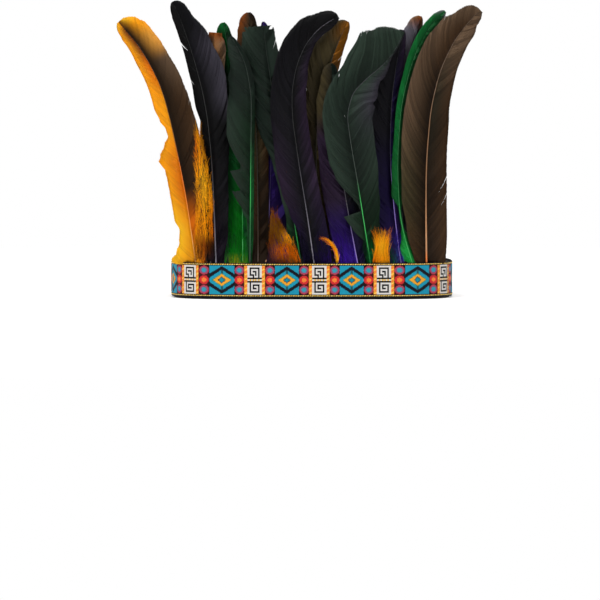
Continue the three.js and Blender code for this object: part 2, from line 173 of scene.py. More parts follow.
# %% The kinds of feather and the list of feathers
KINDS = {
    "torn": [
        (0, 0, 1.5, 0.18), (0.08, 0, 0.8, 0.5), (0.2, 0.03, 1, 0.65), (0.3, 0.08, 0.95, 0.8),
        (0.38, 0.1, 1.45, 0.9), (0.44, 0.11, 1.1, 0.93), (0.5, 0.13, 0.38, 0.95),
        (0.6, 0.2, 0.85, 1), (0.8, 0.62, 0.78, 0.94), (0.93, 0.97, 0.6, 0.9), (1, 1, 0.15, 0.3),
    ],
    "spear": [
        (0, 0, 0.12, 0.3), (0.12, 0, 0.9, 0.5), (0.3, 0.04, 0.75, 0.58), (0.5, 0.2, 0.45, 0.75),
        (0.6, 0.4, 0.72, 0.88), (0.7, 0.6, 0.62, 1), (0.84, 0.75, 0.55, 0.8),
        (0.94, 0.9, 0.52, 0.45), (1, 1, 0.08, 0.08),
    ],
    "hook": [
        (0, 0, 0.34, 0.5), (0.1, 0, 0.72, 0.95), (0.25, -0.02, 1, 0.95), (0.5, 0, 0.93, 0.89),
        (0.6, 0.1, 0.9, 0.85), (0.7, 0.26, 0.9, 0.77), (0.8, 0.46, 0.94, 0.46),
        (0.88, 0.7, 0.86, 0.34), (0.95, 0.94, 0.55, 0.45), (1, 1, 0.12, 0.15),
    ],
    "sickle": [
        (0, 0, 0.15, 0.1), (0.08, 0, 0.32, 0.38), (0.15, 0, 0.58, 0.55), (0.2, 0, 0.14, 0.68),
        (0.25, 0, 0.42, 0.75), (0.4, -0.02, 0.64, 0.9), (0.54, 0.02, 0.6, 0.96),
        (0.64, 0.4, 0.55, 1), (0.72, 0.9, 0.62, 0.85), (0.8, 1, 0.95, 0.42),
        (0.9, 0.75, 0.95, 0.06), (0.96, 0.6, 0.7, 0.05), (1, 0.55, 0.1, 0.04),
    ],
    "sabre": [
        (0, 0, 0.36, 0.9), (0.12, 0, 0.7, 0.95), (0.25, 0.02, 0.9, 0.94), (0.5, 0.12, 1, 0.88),
        (0.65, 0.3, 0.98, 0.76), (0.8, 0.56, 0.82, 0.66), (0.9, 0.82, 0.55, 0.58),
        (1, 1, 0.1, 0.14),
    ],
    "strap": [
        (0, 0, 0.3, 0.5), (0.1, 0.06, 0.75, 0.65), (0.25, 0.22, 0.72, 0.55), (0.5, 0.32, 0.55, 0.5),
        (0.7, 0.48, 0.75, 0.6), (0.88, 0.7, 1, 0.8), (0.96, 0.92, 0.85, 0.9), (1, 1, 0.2, 0.25),
    ],
    "half": [
        (0, 0, 0.08, 0.4), (0.12, 0, 0.2, 0.7), (0.25, 0, 0.85, 0.7), (0.4, 0, 1, 0.7),
        (0.65, 0, 1, 0.8), (0.8, 0.3, 0.82, 1), (0.92, 0.75, 0.5, 0.85), (1, 1, 0.08, 0.2),
    ],
    "square": [
        (0, 0, 0.06, 0.1), (0.1, 0, 0.2, 0.4), (0.25, 0, 0.3, 0.7), (0.41, 0, 0.42, 0.95),
        (0.6, 0, 0.75, 1), (0.7, 0, 0.95, 1), (0.85, 0.2, 1, 0.85), (0.97, 0.8, 0.82, 0.7),
        (1, 1, 0.7, 0.6),
    ],
    "leaf": [
        (0, 0, 0.2, 0.15), (0.1, 0.05, 0.6, 0.6), (0.3, 0.15, 0.95, 0.9), (0.6, 0.5, 1, 1),
        (0.8, 0.8, 0.85, 0.9), (0.93, 0.95, 0.55, 0.65), (1, 1, 0.12, 0.15),
    ],
}

# name: kind, layer, root, length, lean, bow, left, right
FEATHERS = {
    "feather_amber_left": ("torn", 0, -0.817, 0.966, -8, -34, 0.86, 1.3),
    "feather_brown_left": ("leaf", 2, -0.71, 0.863, -3, 9, 0.44, 0.7),
    "feather_black_left": ("spear", 1, -0.674, 1, -2, -22, 0.75, 1.46),
    "feather_emerald_left": ("leaf", 3, -0.486, 0.904, 0, -11, 1.13, 0.85),
    "feather_green_left": ("half", 0, -0.435, 0.863, 0.5, -36, 1.4, 0.26),
    "feather_olive_left": ("leaf", 2, -0.378, 0.938, 0, -5, 1.25, 0.66),
    "feather_violet_left": ("leaf", 3, -0.323, 0.904, 4, -11, 0.4, 0.55),
    "feather_green_middle": ("square", 1, -0.077, 0.897, -9.5, 6, 1.55, 0.8),
    "feather_black_middle": ("hook", 0, 0.014, 0.993, -8, 70, 1.34, 0.91),
    "feather_olive_middle": ("leaf", 2, 0.119, 0.925, -11, 36, 1.5, 0.58),
    "feather_plum_middle": ("leaf", 1, 0.319, 0.753, -11, 8, 1.15, 0.6),
    "feather_green_sickle": ("sickle", 0, 0.409, 0.945, -9, 60, 2.18, 1.44),
    "feather_violet_right": ("leaf", 2, 0.623, 0.877, -8, 20, 1.3, 0.5),
    "feather_grey_right": ("leaf", 3, 0.663, 0.932, -6, 22, 0.8, 0.46),
    "feather_emerald_right": ("strap", 1, 0.703, 0.993, -18, 68, 0.41, 0.39),
    "feather_brown_right": ("sabre", 0, 0.804, 1, -0.7, 48, 1.54, 1.22),
}
TURN, LEFT, RIGHT = 1, 2, 3

# Edges that are torn, parted or splayed: the side, then widths in millimetres at shares of the length
EDGES = {
    "feather_amber_left": {
        -1: [
            (0, 13.5), (0.024, 13.2), (0.044, 10), (0.085, 7.4), (0.133, 6.3), (0.174, 8.2),
            (0.33, 8.4), (0.38, 8.6), (0.392, 12.8), (0.43, 9.5), (0.47, 6.1), (0.5, 3.1),
            (0.53, 3.5), (0.566, 5.6), (0.62, 7), (0.8, 6.4), (0.93, 5), (1, 1.2),
        ],
        1: [
            (0, 6), (0.08, 7), (0.2, 9.5), (0.3, 12), (0.4, 13.8), (0.5, 14), (0.6, 13.3),
            (0.7, 12.4), (0.8, 11.7), (0.93, 11.2), (1, 3.7),
        ],
    },
    "feather_brown_left": {
        -1: [(0, 1), (0.3, 4), (0.8, 4.4), (0.93, 4.4), (1, 3)],
        1: [(0, 1.5), (0.3, 6), (0.8, 7.4), (0.93, 7.2), (1, 4)],
    },
    "feather_black_left": {-1: [
        (0, 4.8), (0.05, 6), (0.12, 6.7), (0.3, 5.6), (0.5, 3.4), (0.6, 5.4), (0.7, 4.7),
        (0.84, 4.1), (0.94, 3.9), (1, 0.6),
    ]},
    "feather_emerald_left": {
        -1: [(0, 10), (0.1, 10.4), (0.3, 10.4), (0.6, 10.8), (0.8, 9.2), (0.93, 5.6), (1, 1.3)],
        1: [(0, 5), (0.1, 6), (0.3, 7.4), (0.6, 8.2), (0.8, 6.6), (0.93, 3.6), (1, 1)],
    },
    "feather_green_left": {-1: [
        (0, 1), (0.12, 1.6), (0.18, 1.8), (0.226, 4.4), (0.305, 10.5), (0.312, 5.5), (0.38, 12),
        (0.396, 12.3), (0.402, 5.5), (0.42, 5.5), (0.47, 10.4), (0.5, 13.4), (0.65, 13.4),
        (0.8, 11), (0.92, 6.7), (1, 1),
    ]},
    "feather_olive_left": {
        -1: [(0, 5), (0.3, 6), (0.5, 6.6), (0.64, 9.5), (0.8, 10.2), (0.93, 7), (1, 1.5)],
        1: [(0, 5), (0.1, 6), (0.3, 6), (0.6, 6.6), (0.8, 5.9), (0.93, 4.3), (1, 1)],
    },
    "feather_violet_left": {1: [
        (0, 13), (0.12, 13), (0.22, 10), (0.34, 6), (0.6, 5.3), (0.8, 4.8), (0.93, 3.4), (1, 0.8),
    ]},
    "feather_green_middle": {-1: [
        (0, 6), (0.1, 5.5), (0.2, 4), (0.3, 5), (0.41, 6.3), (0.6, 11.2), (0.7, 14.1),
        (0.85, 14.9), (0.97, 12.2), (1, 10.4),
    ]},
    "feather_black_middle": {
        -1: [
            (0, 5.5), (0.11, 6), (0.2, 9.4), (0.28, 11.8), (0.36, 12.7), (0.5, 12), (0.7, 11.6),
            (0.8, 12.1), (0.88, 11.1), (0.95, 7.1), (1, 1.5),
        ],
        1: [
            (0, 9), (0.06, 10), (0.14, 9.6), (0.25, 8.8), (0.5, 8.1), (0.6, 7.8), (0.7, 7.2),
            (0.8, 5.2), (0.88, 3.8), (0.95, 4), (1, 1.4),
        ],
    },
    "feather_olive_middle": {
        -1: [
            (0, 6), (0.1, 8), (0.3, 13), (0.6, 16), (0.75, 16), (0.85, 13), (0.93, 8.5), (1, 2),
        ],
        1: [(0, 4), (0.1, 5), (0.3, 5.2), (0.6, 5.8), (0.8, 5.2), (0.93, 3.8), (1, 0.9)],
    },
    "feather_plum_middle": {
        -1: [(0, 10.5), (0.15, 11.5), (0.4, 12), (0.6, 11), (0.8, 9.4), (0.93, 6), (1, 1.3)],
        1: [(0, 7.5), (0.1, 8.5), (0.35, 8.6), (0.5, 6.5), (0.8, 5), (0.93, 3.8), (1, 1)],
    },
    "feather_green_sickle": {
        -1: [
            (0, 0.4), (0.075, 0.6), (0.137, 6.6), (0.195, 11), (0.206, 0.6), (0.228, 1.4),
            (0.26, 3.8), (0.3, 9.3), (0.36, 11.5), (0.42, 13.4), (0.54, 13.6), (0.64, 14),
            (0.68, 13.4), (0.72, 14), (0.76, 17), (0.8, 20), (0.84, 21.4), (0.88, 21.2),
            (0.92, 19.2), (0.96, 15), (1, 4),
        ],
        1: [
            (0, 5), (0.08, 6.5), (0.15, 8.4), (0.25, 10.6), (0.4, 12.6), (0.54, 13.3),
            (0.64, 13.8), (0.72, 11.8), (0.8, 5.8), (0.9, 0.9), (1, 0.6),
        ],
    },
    "feather_violet_right": {-1: [
        (0, 9), (0.1, 12), (0.3, 13), (0.6, 12.5), (0.8, 10.6), (0.93, 6.9), (1, 1.5),
    ]},
    "feather_grey_right": {-1: [
        (0, 1.6), (0.1, 4.8), (0.3, 8), (0.6, 9.5), (0.8, 9.5), (0.93, 7), (1, 1.6),
    ]},
    "feather_emerald_right": {
        -1: [
            (0, 4), (0.05, 4.2), (0.11, 1.6), (0.14, 0.6), (0.21, 0.6), (0.26, 3.9), (0.32, 3.4),
            (0.5, 2.6), (0.7, 3), (0.88, 3.9), (0.96, 3.3), (1, 0.8),
        ],
        1: [
            (0, 2.5), (0.1, 2.4), (0.13, 0.8), (0.2, 0.8), (0.24, 2.1), (0.5, 1.9), (0.7, 2.2),
            (0.88, 3), (0.96, 3.4), (1, 0.9),
        ],
    },
    "feather_brown_right": {-1: [
        (0, 6.5), (0.12, 10.5), (0.25, 13.3), (0.5, 14.6), (0.65, 14.4), (0.8, 14.2),
        (0.88, 12.4), (0.94, 8.8), (1, 2),
    ]},
}


def column_at(rows, column, share):
    """A column of a kind's table at shares of the length, eased between its rows."""
    at = np.array([row[0] for row in rows], float)
    value = np.array([row[column] for row in rows], float)
    above = np.clip(np.searchsorted(at, share), 1, len(at) - 1)
    part = smooth_step((share - at[above - 1]) / (at[above] - at[above - 1]))
    return value[above - 1] + part * (value[above] - value[above - 1])


# %% [markdown]
# ## The shaft's line
# A feather is drawn from its shaft. The line starts where the quill leaves the band and turns from
# its lean through its bow, and it also runs straight down into the pocket behind the ribbon.

# %% Follow a shaft from its quill to its tip
LINE_STEPS = 216
EDGE_STEPS = 180
TIP_FROM = 17 / 18


class Shaft:
    """The line of one feather's shaft, and the widths of its two vanes."""

    def __init__(self, kind, layer, root, length, lean, bow, left, right, edges=None):
        self.layer = layer
        self.length = length * LONGEST_FEATHER
        rows = KINDS[kind]
        share = np.arange(LINE_STEPS + 1) / LINE_STEPS
        angle = np.radians(lean + bow * column_at(rows, TURN, share))
        step = self.length / LINE_STEPS
        x = root * HALF_WIDTH + np.concatenate([[0], np.cumsum(np.sin(angle[:-1])) * step])
        z = BAND_TOP + SEAT_GAP + np.concatenate([[0], np.cumsum(np.cos(angle[:-1])) * step])
        below = -(QUILL_SEAT + SEAT_GAP) / self.length
        start = np.radians(lean)
        self.share = np.concatenate([[below], share])
        self.angle = np.concatenate([[start], angle])
        self.x = np.concatenate([[x[0] + below * self.length * np.sin(start)], x])
        self.z = np.concatenate([[z[0] + below * self.length * np.cos(start)], z])
        self.stations = np.arange(EDGE_STEPS + 1) / EDGE_STEPS
        self.widths = {
            -1: left * VANE_WIDTH * column_at(rows, LEFT, self.stations),
            1: right * VANE_WIDTH * column_at(rows, RIGHT, self.stations),
        }
        for side, measured in (edges or {}).items():
            self.widths[side] = column_at(measured, 1, self.stations)
        self.blunt = kind == "square"

    def at(self, share):
        """The shaft's x, z and angle at shares of its length; below 0 it is in the pocket."""
        return [np.interp(share, self.share, line) for line in (self.x, self.z, self.angle)]

    def width(self, side, share):
        """A vane's width. The last stretch is rounded, as a whole feather's tip is."""
        width = np.interp(share, self.stations, self.widths[side])
        if self.blunt:
            return width
        tip = 0.94 * np.interp(TIP_FROM, self.stations, self.widths[side])
        part = np.clip((share - TIP_FROM) / (1 - TIP_FROM), 0, 1)
        return np.maximum(width, np.where(part > 0, tip * np.sqrt(1 - part**2), 0))


shafts = {name: Shaft(*row, EDGES.get(name)) for name, row in FEATHERS.items()}
print("longest shaft", max(round(s.length, 1) for s in shafts.values()), "mm")

# %% [markdown]
# ## One barb
# A vane looks like a sheet but is hundreds of barbs, each a flat ridge that leaves the shaft at a
# slant. It could be a single sheet with a ridged bump, but real barbs part, fray and catch the
# light one by one, so here each is a body of its own. It is modelled once: a three-sided cylinder
# laid along X, turned so that one corner is a ridge on its front, and cut into five lengths. An Array
# modifier then sets out as many copies as a feather has barbs.

# %% Model one barb
BARB_CUTS = 4


def only(obj):
    """Makes one object the selected and active one."""
    bpy.ops.object.select_all(action="DESELECT")
    obj.select_set(True)
    bpy.context.view_layer.objects.active = obj


def strand(name, sides, cuts):
    """A thin closed rod along X from 0 to 1, one unit across, cut into even lengths."""
    bpy.ops.object.select_all(action="DESELECT")
    bpy.ops.mesh.primitive_cylinder_add(
        vertices=sides, radius=0.5, depth=1, location=(0.5, 0, 0), rotation=(0, np.pi / 2, 0)
    )
    bpy.ops.object.transform_apply(location=True, rotation=True, scale=True)
    bpy.ops.transform.rotate(value=np.pi / 2, orient_axis="X", center_override=(0, 0, 0))
    bpy.ops.object.transform_apply(location=True, rotation=True, scale=True)
    obj = bpy.context.object
    obj.name = name
    bpy.ops.object.mode_set(mode="EDIT")
    bpy.ops.mesh.select_mode(type="EDGE")
    bpy.ops.mesh.select_all(action="DESELECT")
    bpy.ops.object.mode_set(mode="OBJECT")
    for edge in obj.data.edges:
        ends = [obj.data.vertices[v].co.x for v in edge.vertices]
        edge.select = abs(ends[0] - ends[1]) > 0.5
    bpy.ops.object.mode_set(mode="EDIT")
    bpy.ops.mesh.subdivide(number_cuts=cuts)
    bpy.ops.object.mode_set(mode="OBJECT")
    return obj


def points_of(obj):
    """The places of an object's vertices, a row each."""
    flat = np.empty(len(obj.data.vertices) * 3)
    obj.data.vertices.foreach_get("co", flat)
    return flat.reshape(-1, 3)


def set_points(obj, points):
    obj.data.vertices.foreach_set("co", np.asarray(points, np.float32).ravel())
    obj.data.update()


def face_outwards(obj, merge=None):
    """Turns all faces of an object outwards, after merging vertices closer than a distance."""
    only(obj)
    bpy.ops.object.mode_set(mode="EDIT")
    bpy.ops.mesh.select_all(action="SELECT")
    if merge:
        bpy.ops.mesh.remove_doubles(threshold=merge)
    bpy.ops.mesh.normals_make_consistent(inside=False)
    bpy.ops.object.mode_set(mode="OBJECT")


def copies_of(pattern, name, count):
    """An object of its own with many copies of a pattern, one after the other."""
    obj = pattern.copy()
    obj.data = pattern.data.copy()
    obj.name = obj.data.name = name
    bpy.context.collection.objects.link(obj)
    only(obj)
    rows = obj.modifiers.new("Rows", "ARRAY")
    rows.count = count
    rows.use_relative_offset = False
    rows.use_constant_offset = True
    rows.constant_offset_displace = (0, 1, 0)
    bpy.ops.object.modifier_apply(modifier=rows.name)
    return obj


barb = strand("barb", 3, BARB_CUTS)
barb_points = points_of(barb)
print("one barb:", len(barb.data.vertices), "vertices, ridge at", barb_points[:, 2].max().round(2))

# %% [markdown]
# ## Laying the barbs into a vane
# Real barbs leave the shaft at an acute angle and bend towards the tip. Each barb is sent out towards
# the widest edge near it and is cut off where it crosses the vane's outline, so notches and the tip
# come out crisp. Neighbours are hooked together, so a barb is made just wide enough to reach the next.
# Here and there the hooks let go and the vane parts in a slit, and near a part the barbs lean away.

# %% Where the barbs of one vane start, and how far each one runs
BARB_SPACING = 0.36
BARB_SLANT = 1.5
TIP_SLANT = 2.0
BARB_CURVE = 1.2
BARB_FLARE = 1.25
BARB_STEPS = 65


def clumps(count, random, smallest, largest):
    """One random value for each run of neighbours, from -1 to 1."""
    values = []
    while len(values) < count:
        run = int(random.integers(smallest, largest))
        values += [random.uniform(-1, 1)] * run
    return np.array(values[:count])


def unit(vectors):
    return vectors / np.maximum(np.linalg.norm(vectors, axis=-1, keepdims=True), 1e-9)


def envelope(shaft, side, start):
    """The widest that the vane is near each start, smoothed along the shaft."""
    grid = np.linspace(-0.3, 1, 521)
    near = np.linspace(-0.05, 0.22, 28)
    widest = shaft.width(side, np.clip(grid[:, None] + near, 0, 1)).max(axis=1)
    kernel = np.hanning(61)
    padded = np.pad(np.maximum(widest, 0.4), 30, mode="edge")
    return np.interp(start, grid, np.convolve(padded, kernel / kernel.sum(), "valid"))


def barb_path(shaft, start, wide, run):
    """Stations and widths along barbs, at shares of their whole run."""
    slant = BARB_SLANT + (TIP_SLANT - BARB_SLANT) * smooth_step(start)
    sweep = wide * slant / shaft.length
    station = start[:, None] + sweep[:, None] * run**BARB_CURVE
    return station, wide[:, None] * (1 - (1 - np.minimum(run, 1)) ** BARB_FLARE)


def barb_ends(shaft, side, start, wide):
    """The share of its run at which each barb meets the vane's outline."""
    run = np.linspace(0, 1, BARB_STEPS)
    station, across = barb_path(shaft, start, wide, run)
    out = across > shaft.width(side, np.clip(station, 0, 1)) + 0.02
    out[:, 0] = False
    if not shaft.blunt:
        out |= station > 1
    crossed = np.where(out.any(axis=1), out.argmax(axis=1), BARB_STEPS - 1)
    return np.maximum(run[crossed], 0.03)


def on_vane(shaft, side, station, across):
    """Where a place on a vane lies, across and up."""
    x, z, angle = shaft.at(station)
    return x + side * across * np.cos(angle), z - side * across * np.sin(angle)


def barb_starts(shaft, side):
    """Starts spread so that the barbs lie evenly both at the shaft and at the edge."""
    lowest = -shaft.width(side, 0) * BARB_SLANT / shaft.length
    start = np.linspace(lowest, 0.997, 900)
    wide = envelope(shaft, side, start)
    ends = barb_ends(shaft, side, start, wide)
    station, across = barb_path(shaft, start, wide, ends[:, None])
    x, z = on_vane(shaft, side, station[:, 0], across[:, 0])
    outer = np.minimum(np.hypot(np.diff(x), np.diff(z)), 1.0)
    inner = np.diff(start) * shaft.length
    measure = np.concatenate([[0], np.cumsum(np.maximum(inner, 0.6 * outer))])
    count = int(measure[-1] / BARB_SPACING)
    return np.interp(np.linspace(0, measure[-1], count), measure, start)


# %% [markdown]
# A part in the vane pushes the barbs aside in proportion to how far out they are, and a short stretch
# of the vane on both sides of it gives way.

# %% Lay out the barbs of one vane
BARB_OVERLAP = 2.2
FINEST_BARB, WIDEST_BARB = 0.16, 2.4
RAGGED_BARB, RAGGED_CLUMP = 0.015, 0.01
CLUMP_TINT = 0.6


def vane_layout(shaft, side, parts, random):
    """Where a vane's barbs run: their path, reach, station, width and tint, a row for each barb."""
    start = barb_starts(shaft, side)
    count = len(start)
    wide = envelope(shaft, side, start)
    group = clumps(count, random, 3, 12)
    ragged = random.uniform(0, RAGGED_BARB, count) + RAGGED_CLUMP * clumps(count, random, 5, 18)
    ends = barb_ends(shaft, side, start, wide) * (1 - np.maximum(ragged, 0))
    if shaft.blunt:
        station, _ = barb_path(shaft, start, wide, ends[:, None])
        sweep = np.maximum(station[:, 0] - start, 1e-6) / ends**BARB_CURVE
        limit = 1 + 0.02 * group
        allowed = np.clip((limit - start) / sweep, 0.02, 1) ** (1 / BARB_CURVE)
        ends = np.minimum(ends, allowed)
    run = np.linspace(0, 1, BARB_CUTS + 2)[None, :] * ends[:, None]
    whole, across = barb_path(shaft, start, wide, run)
    x, z = on_vane(shaft, side, whole, across)
    heading = unit(np.stack([np.gradient(x, axis=1), np.gradient(z, axis=1)], axis=-1))
    next_start, next_wide = (np.append(v[1:], 2 * v[-1] - v[-2]) for v in (start, wide))
    next_x, next_z = on_vane(shaft, side, *barb_path(shaft, next_start, next_wide, run))
    beside = np.stack([next_x - x, next_z - z], axis=-1)
    beside = beside - (beside * heading).sum(-1, keepdims=True) * heading
    gap = np.linalg.norm(beside, axis=-1)
    gap[1:] = np.maximum(gap[1:], gap[:-1])
    parted = whole.copy()
    for where, opening in parts:
        away = (start - where) * shaft.length
        near = np.clip(1 - np.abs(away) / (3 + 6 * opening), 0, 1)
        push = np.sign(away) * near * opening / 2 / shaft.length
        parted += push[:, None] * run**1.5
    x, z = on_vane(shaft, side, parted, across)
    z = np.maximum(z, BAND_TOP - 1)
    keep = z[:, -1] > BAND_TOP + 0.5
    tint = CLUMP_TINT * group + (1 - CLUMP_TINT) * random.uniform(-1, 1, count)
    edge = shaft.width(side, np.clip(whole, 0, 1))
    reach = side * np.clip(across / np.maximum(edge, 0.5), 0, 1)
    width = np.clip(BARB_OVERLAP * gap, FINEST_BARB, WIDEST_BARB)
    return [part[keep] for part in (x, z, reach, whole, width, tint, group)]


# %% [markdown]
# The layout is flat, as seen from the front. Each barb is now laid on the wall of feathers. The vane is
# dished away from the eye and waves a little along its length, and each clump of barbs lies at its own
# tilt, which is what breaks the light into strokes.

# %% Turn the layout into barbs
BARB_RIDGE = 0.05
VANE_CAMBER = 1.0
VANE_WAVE = 0.35
WAVE_TURN = 17
CLUMP_LIFT = 0.12
BEHIND_SHAFT = 0.1
CLUMP_TWIST, BARB_TWIST = 0.22, 0.1
TIP_TAPER = 0.35


def lay_barbs(shaft, side, parts, random):
    """Vertex places of a vane's barbs, with along, reach and tint for each vertex."""
    x, z, reach, station, width, tint, group = vane_layout(shaft, side, parts, random)
    count, rings = x.shape
    wave = VANE_WAVE * np.sin(station * WAVE_TURN + random.uniform(0, 6))
    depth = wall_depth(x, z, shaft.layer) + (VANE_CAMBER + wave) * reach**2
    depth += CLUMP_LIFT * group[:, None] * np.abs(reach) - BEHIND_SHAFT
    path = np.stack([x, depth, z], axis=-1)
    run = unit(np.gradient(path, axis=1))
    flat = unit(np.cross(run, [0, -1, 0]))
    twist = (CLUMP_TWIST * group + BARB_TWIST * random.uniform(-1, 1, count))[:, None, None]
    flat = unit(flat + twist * np.array([0, 1, 0]))
    out = np.cross(flat, run)
    out *= -np.sign(out[..., 1:2])
    ring = np.rint(barb_points[:, 0] * (rings - 1)).astype(int)
    taper = 1 - TIP_TAPER * barb_points[:, 0] ** 12
    places = path[:, ring]
    places = places + flat[:, ring] * (barb_points[:, 1] * taper * width[:, ring])[..., None]
    places = places + out[:, ring] * (barb_points[:, 2] * 2 * BARB_RIDGE)[None, :, None]
    facts = [station[:, ring], reach[:, ring], np.repeat(tint[:, None], len(ring), 1)]
    return places.reshape(-1, 3), [fact.ravel() for fact in facts]


def set_fact(obj, name, values):
    """Stores one number for each vertex, which a material reads by its name."""
    attribute = obj.data.attributes.new(name, "FLOAT", "POINT")
    attribute.data.foreach_set("value", np.asarray(values, np.float32))


def set_yarn(obj, colours, domain):
    """Stores a yarn's colour for each vertex or face corner."""
    attribute = obj.data.attributes.new("yarn", "FLOAT_COLOR", domain)
    attribute.data.foreach_set("color", np.asarray(colours, np.float32).ravel())


# %% [markdown]
# ## The shaft
# The shaft is a horny rod, thick and pale at the quill and drawn out to a hair at the tip. A rod
# with eight sides is cut into many short lengths, and each ring is moved onto the shaft's line.

# %% Model one shaft
SHAFT_CUTS = 71
SHAFT_HEIGHT = 0.55
SHAFT_FORWARD = 0.12
SHAFT_END = 0.985
SHAFT_THINNING = 0.86

rod = strand("rod", 8, SHAFT_CUTS)
rod_points = points_of(rod)


def lay_shaft(shaft, thickness):
    """Vertex places of a shaft, and the share of the length at each."""
    low = shaft.share[0]
    share = low + rod_points[:, 0] * (SHAFT_END - low)
    x, z, angle = shaft.at(share)
    slim = thickness * (1 - SHAFT_THINNING * np.clip(share, 0, 1) ** 0.8)
    half = QUILL_WIDTH / 2 * slim
    proud = SHAFT_HEIGHT * slim
    side = rod_points[:, 1] * 2
    front = rod_points[:, 2] * 2
    depth = wall_depth(x, z, shaft.layer) - SHAFT_FORWARD - front * proud
    x = x + side * half * np.cos(angle)
    z = z - side * half * np.sin(angle)
    return np.stack([x, depth, z], axis=-1), np.clip(share, 0, 1)


def rod_copy():
    """A rod with a mesh of its own."""
    obj = rod.copy()
    obj.data = rod.data.copy()
    bpy.context.collection.objects.link(obj)
    return obj


# %% [markdown]
# ## The dyes
# The feathers are black, brown and white rooster tails, dyed in a few strong baths, so the dark ones
# stay nearly black and show the dye only at their bases and edges. The card names the colours, and
# each feather has rows from root to tip with four of them: the left vane's edge and middle, and the
# right vane's middle and edge. On the black feather at the left, the slate up the right vane's edge is
# not dye but painted sheen, a lighter colour that stands in for light along the barbs.

# %% The dyer's card and each feather's colours
DYES_AND_SHEEN = {
    "sun": "#FFC020", "amber": "#FBA210", "flame": "#DC6C04", "rust": "#7A3C0C",
    "umber": "#1E1206", "bark": "#3C2816", "taupe": "#5A4634", "tan": "#7E5632",
    "soot": "#050506", "ink": "#0D0C11", "slate": "#34313A", "ash": "#66626C",
    "plum": "#24182A", "grape": "#22104E", "indigo": "#120A2C", "lilac": "#7A64B0",
    "bottle": "#141E18", "moss": "#26332A", "pine": "#0A2010", "emerald": "#0C4A20",
    "leaf": "#0B5E28", "bright": "#1E9A40", "olive": "#241F12", "drab": "#3C3420",
    "honey": "#7A4A0C", "horn": "#76727E", "cream": "#B07C50", "straw": "#E09A3C",
    "violet": "#3A1A96", "lime": "#8A8A14", "grass": "#0A6A14",
}
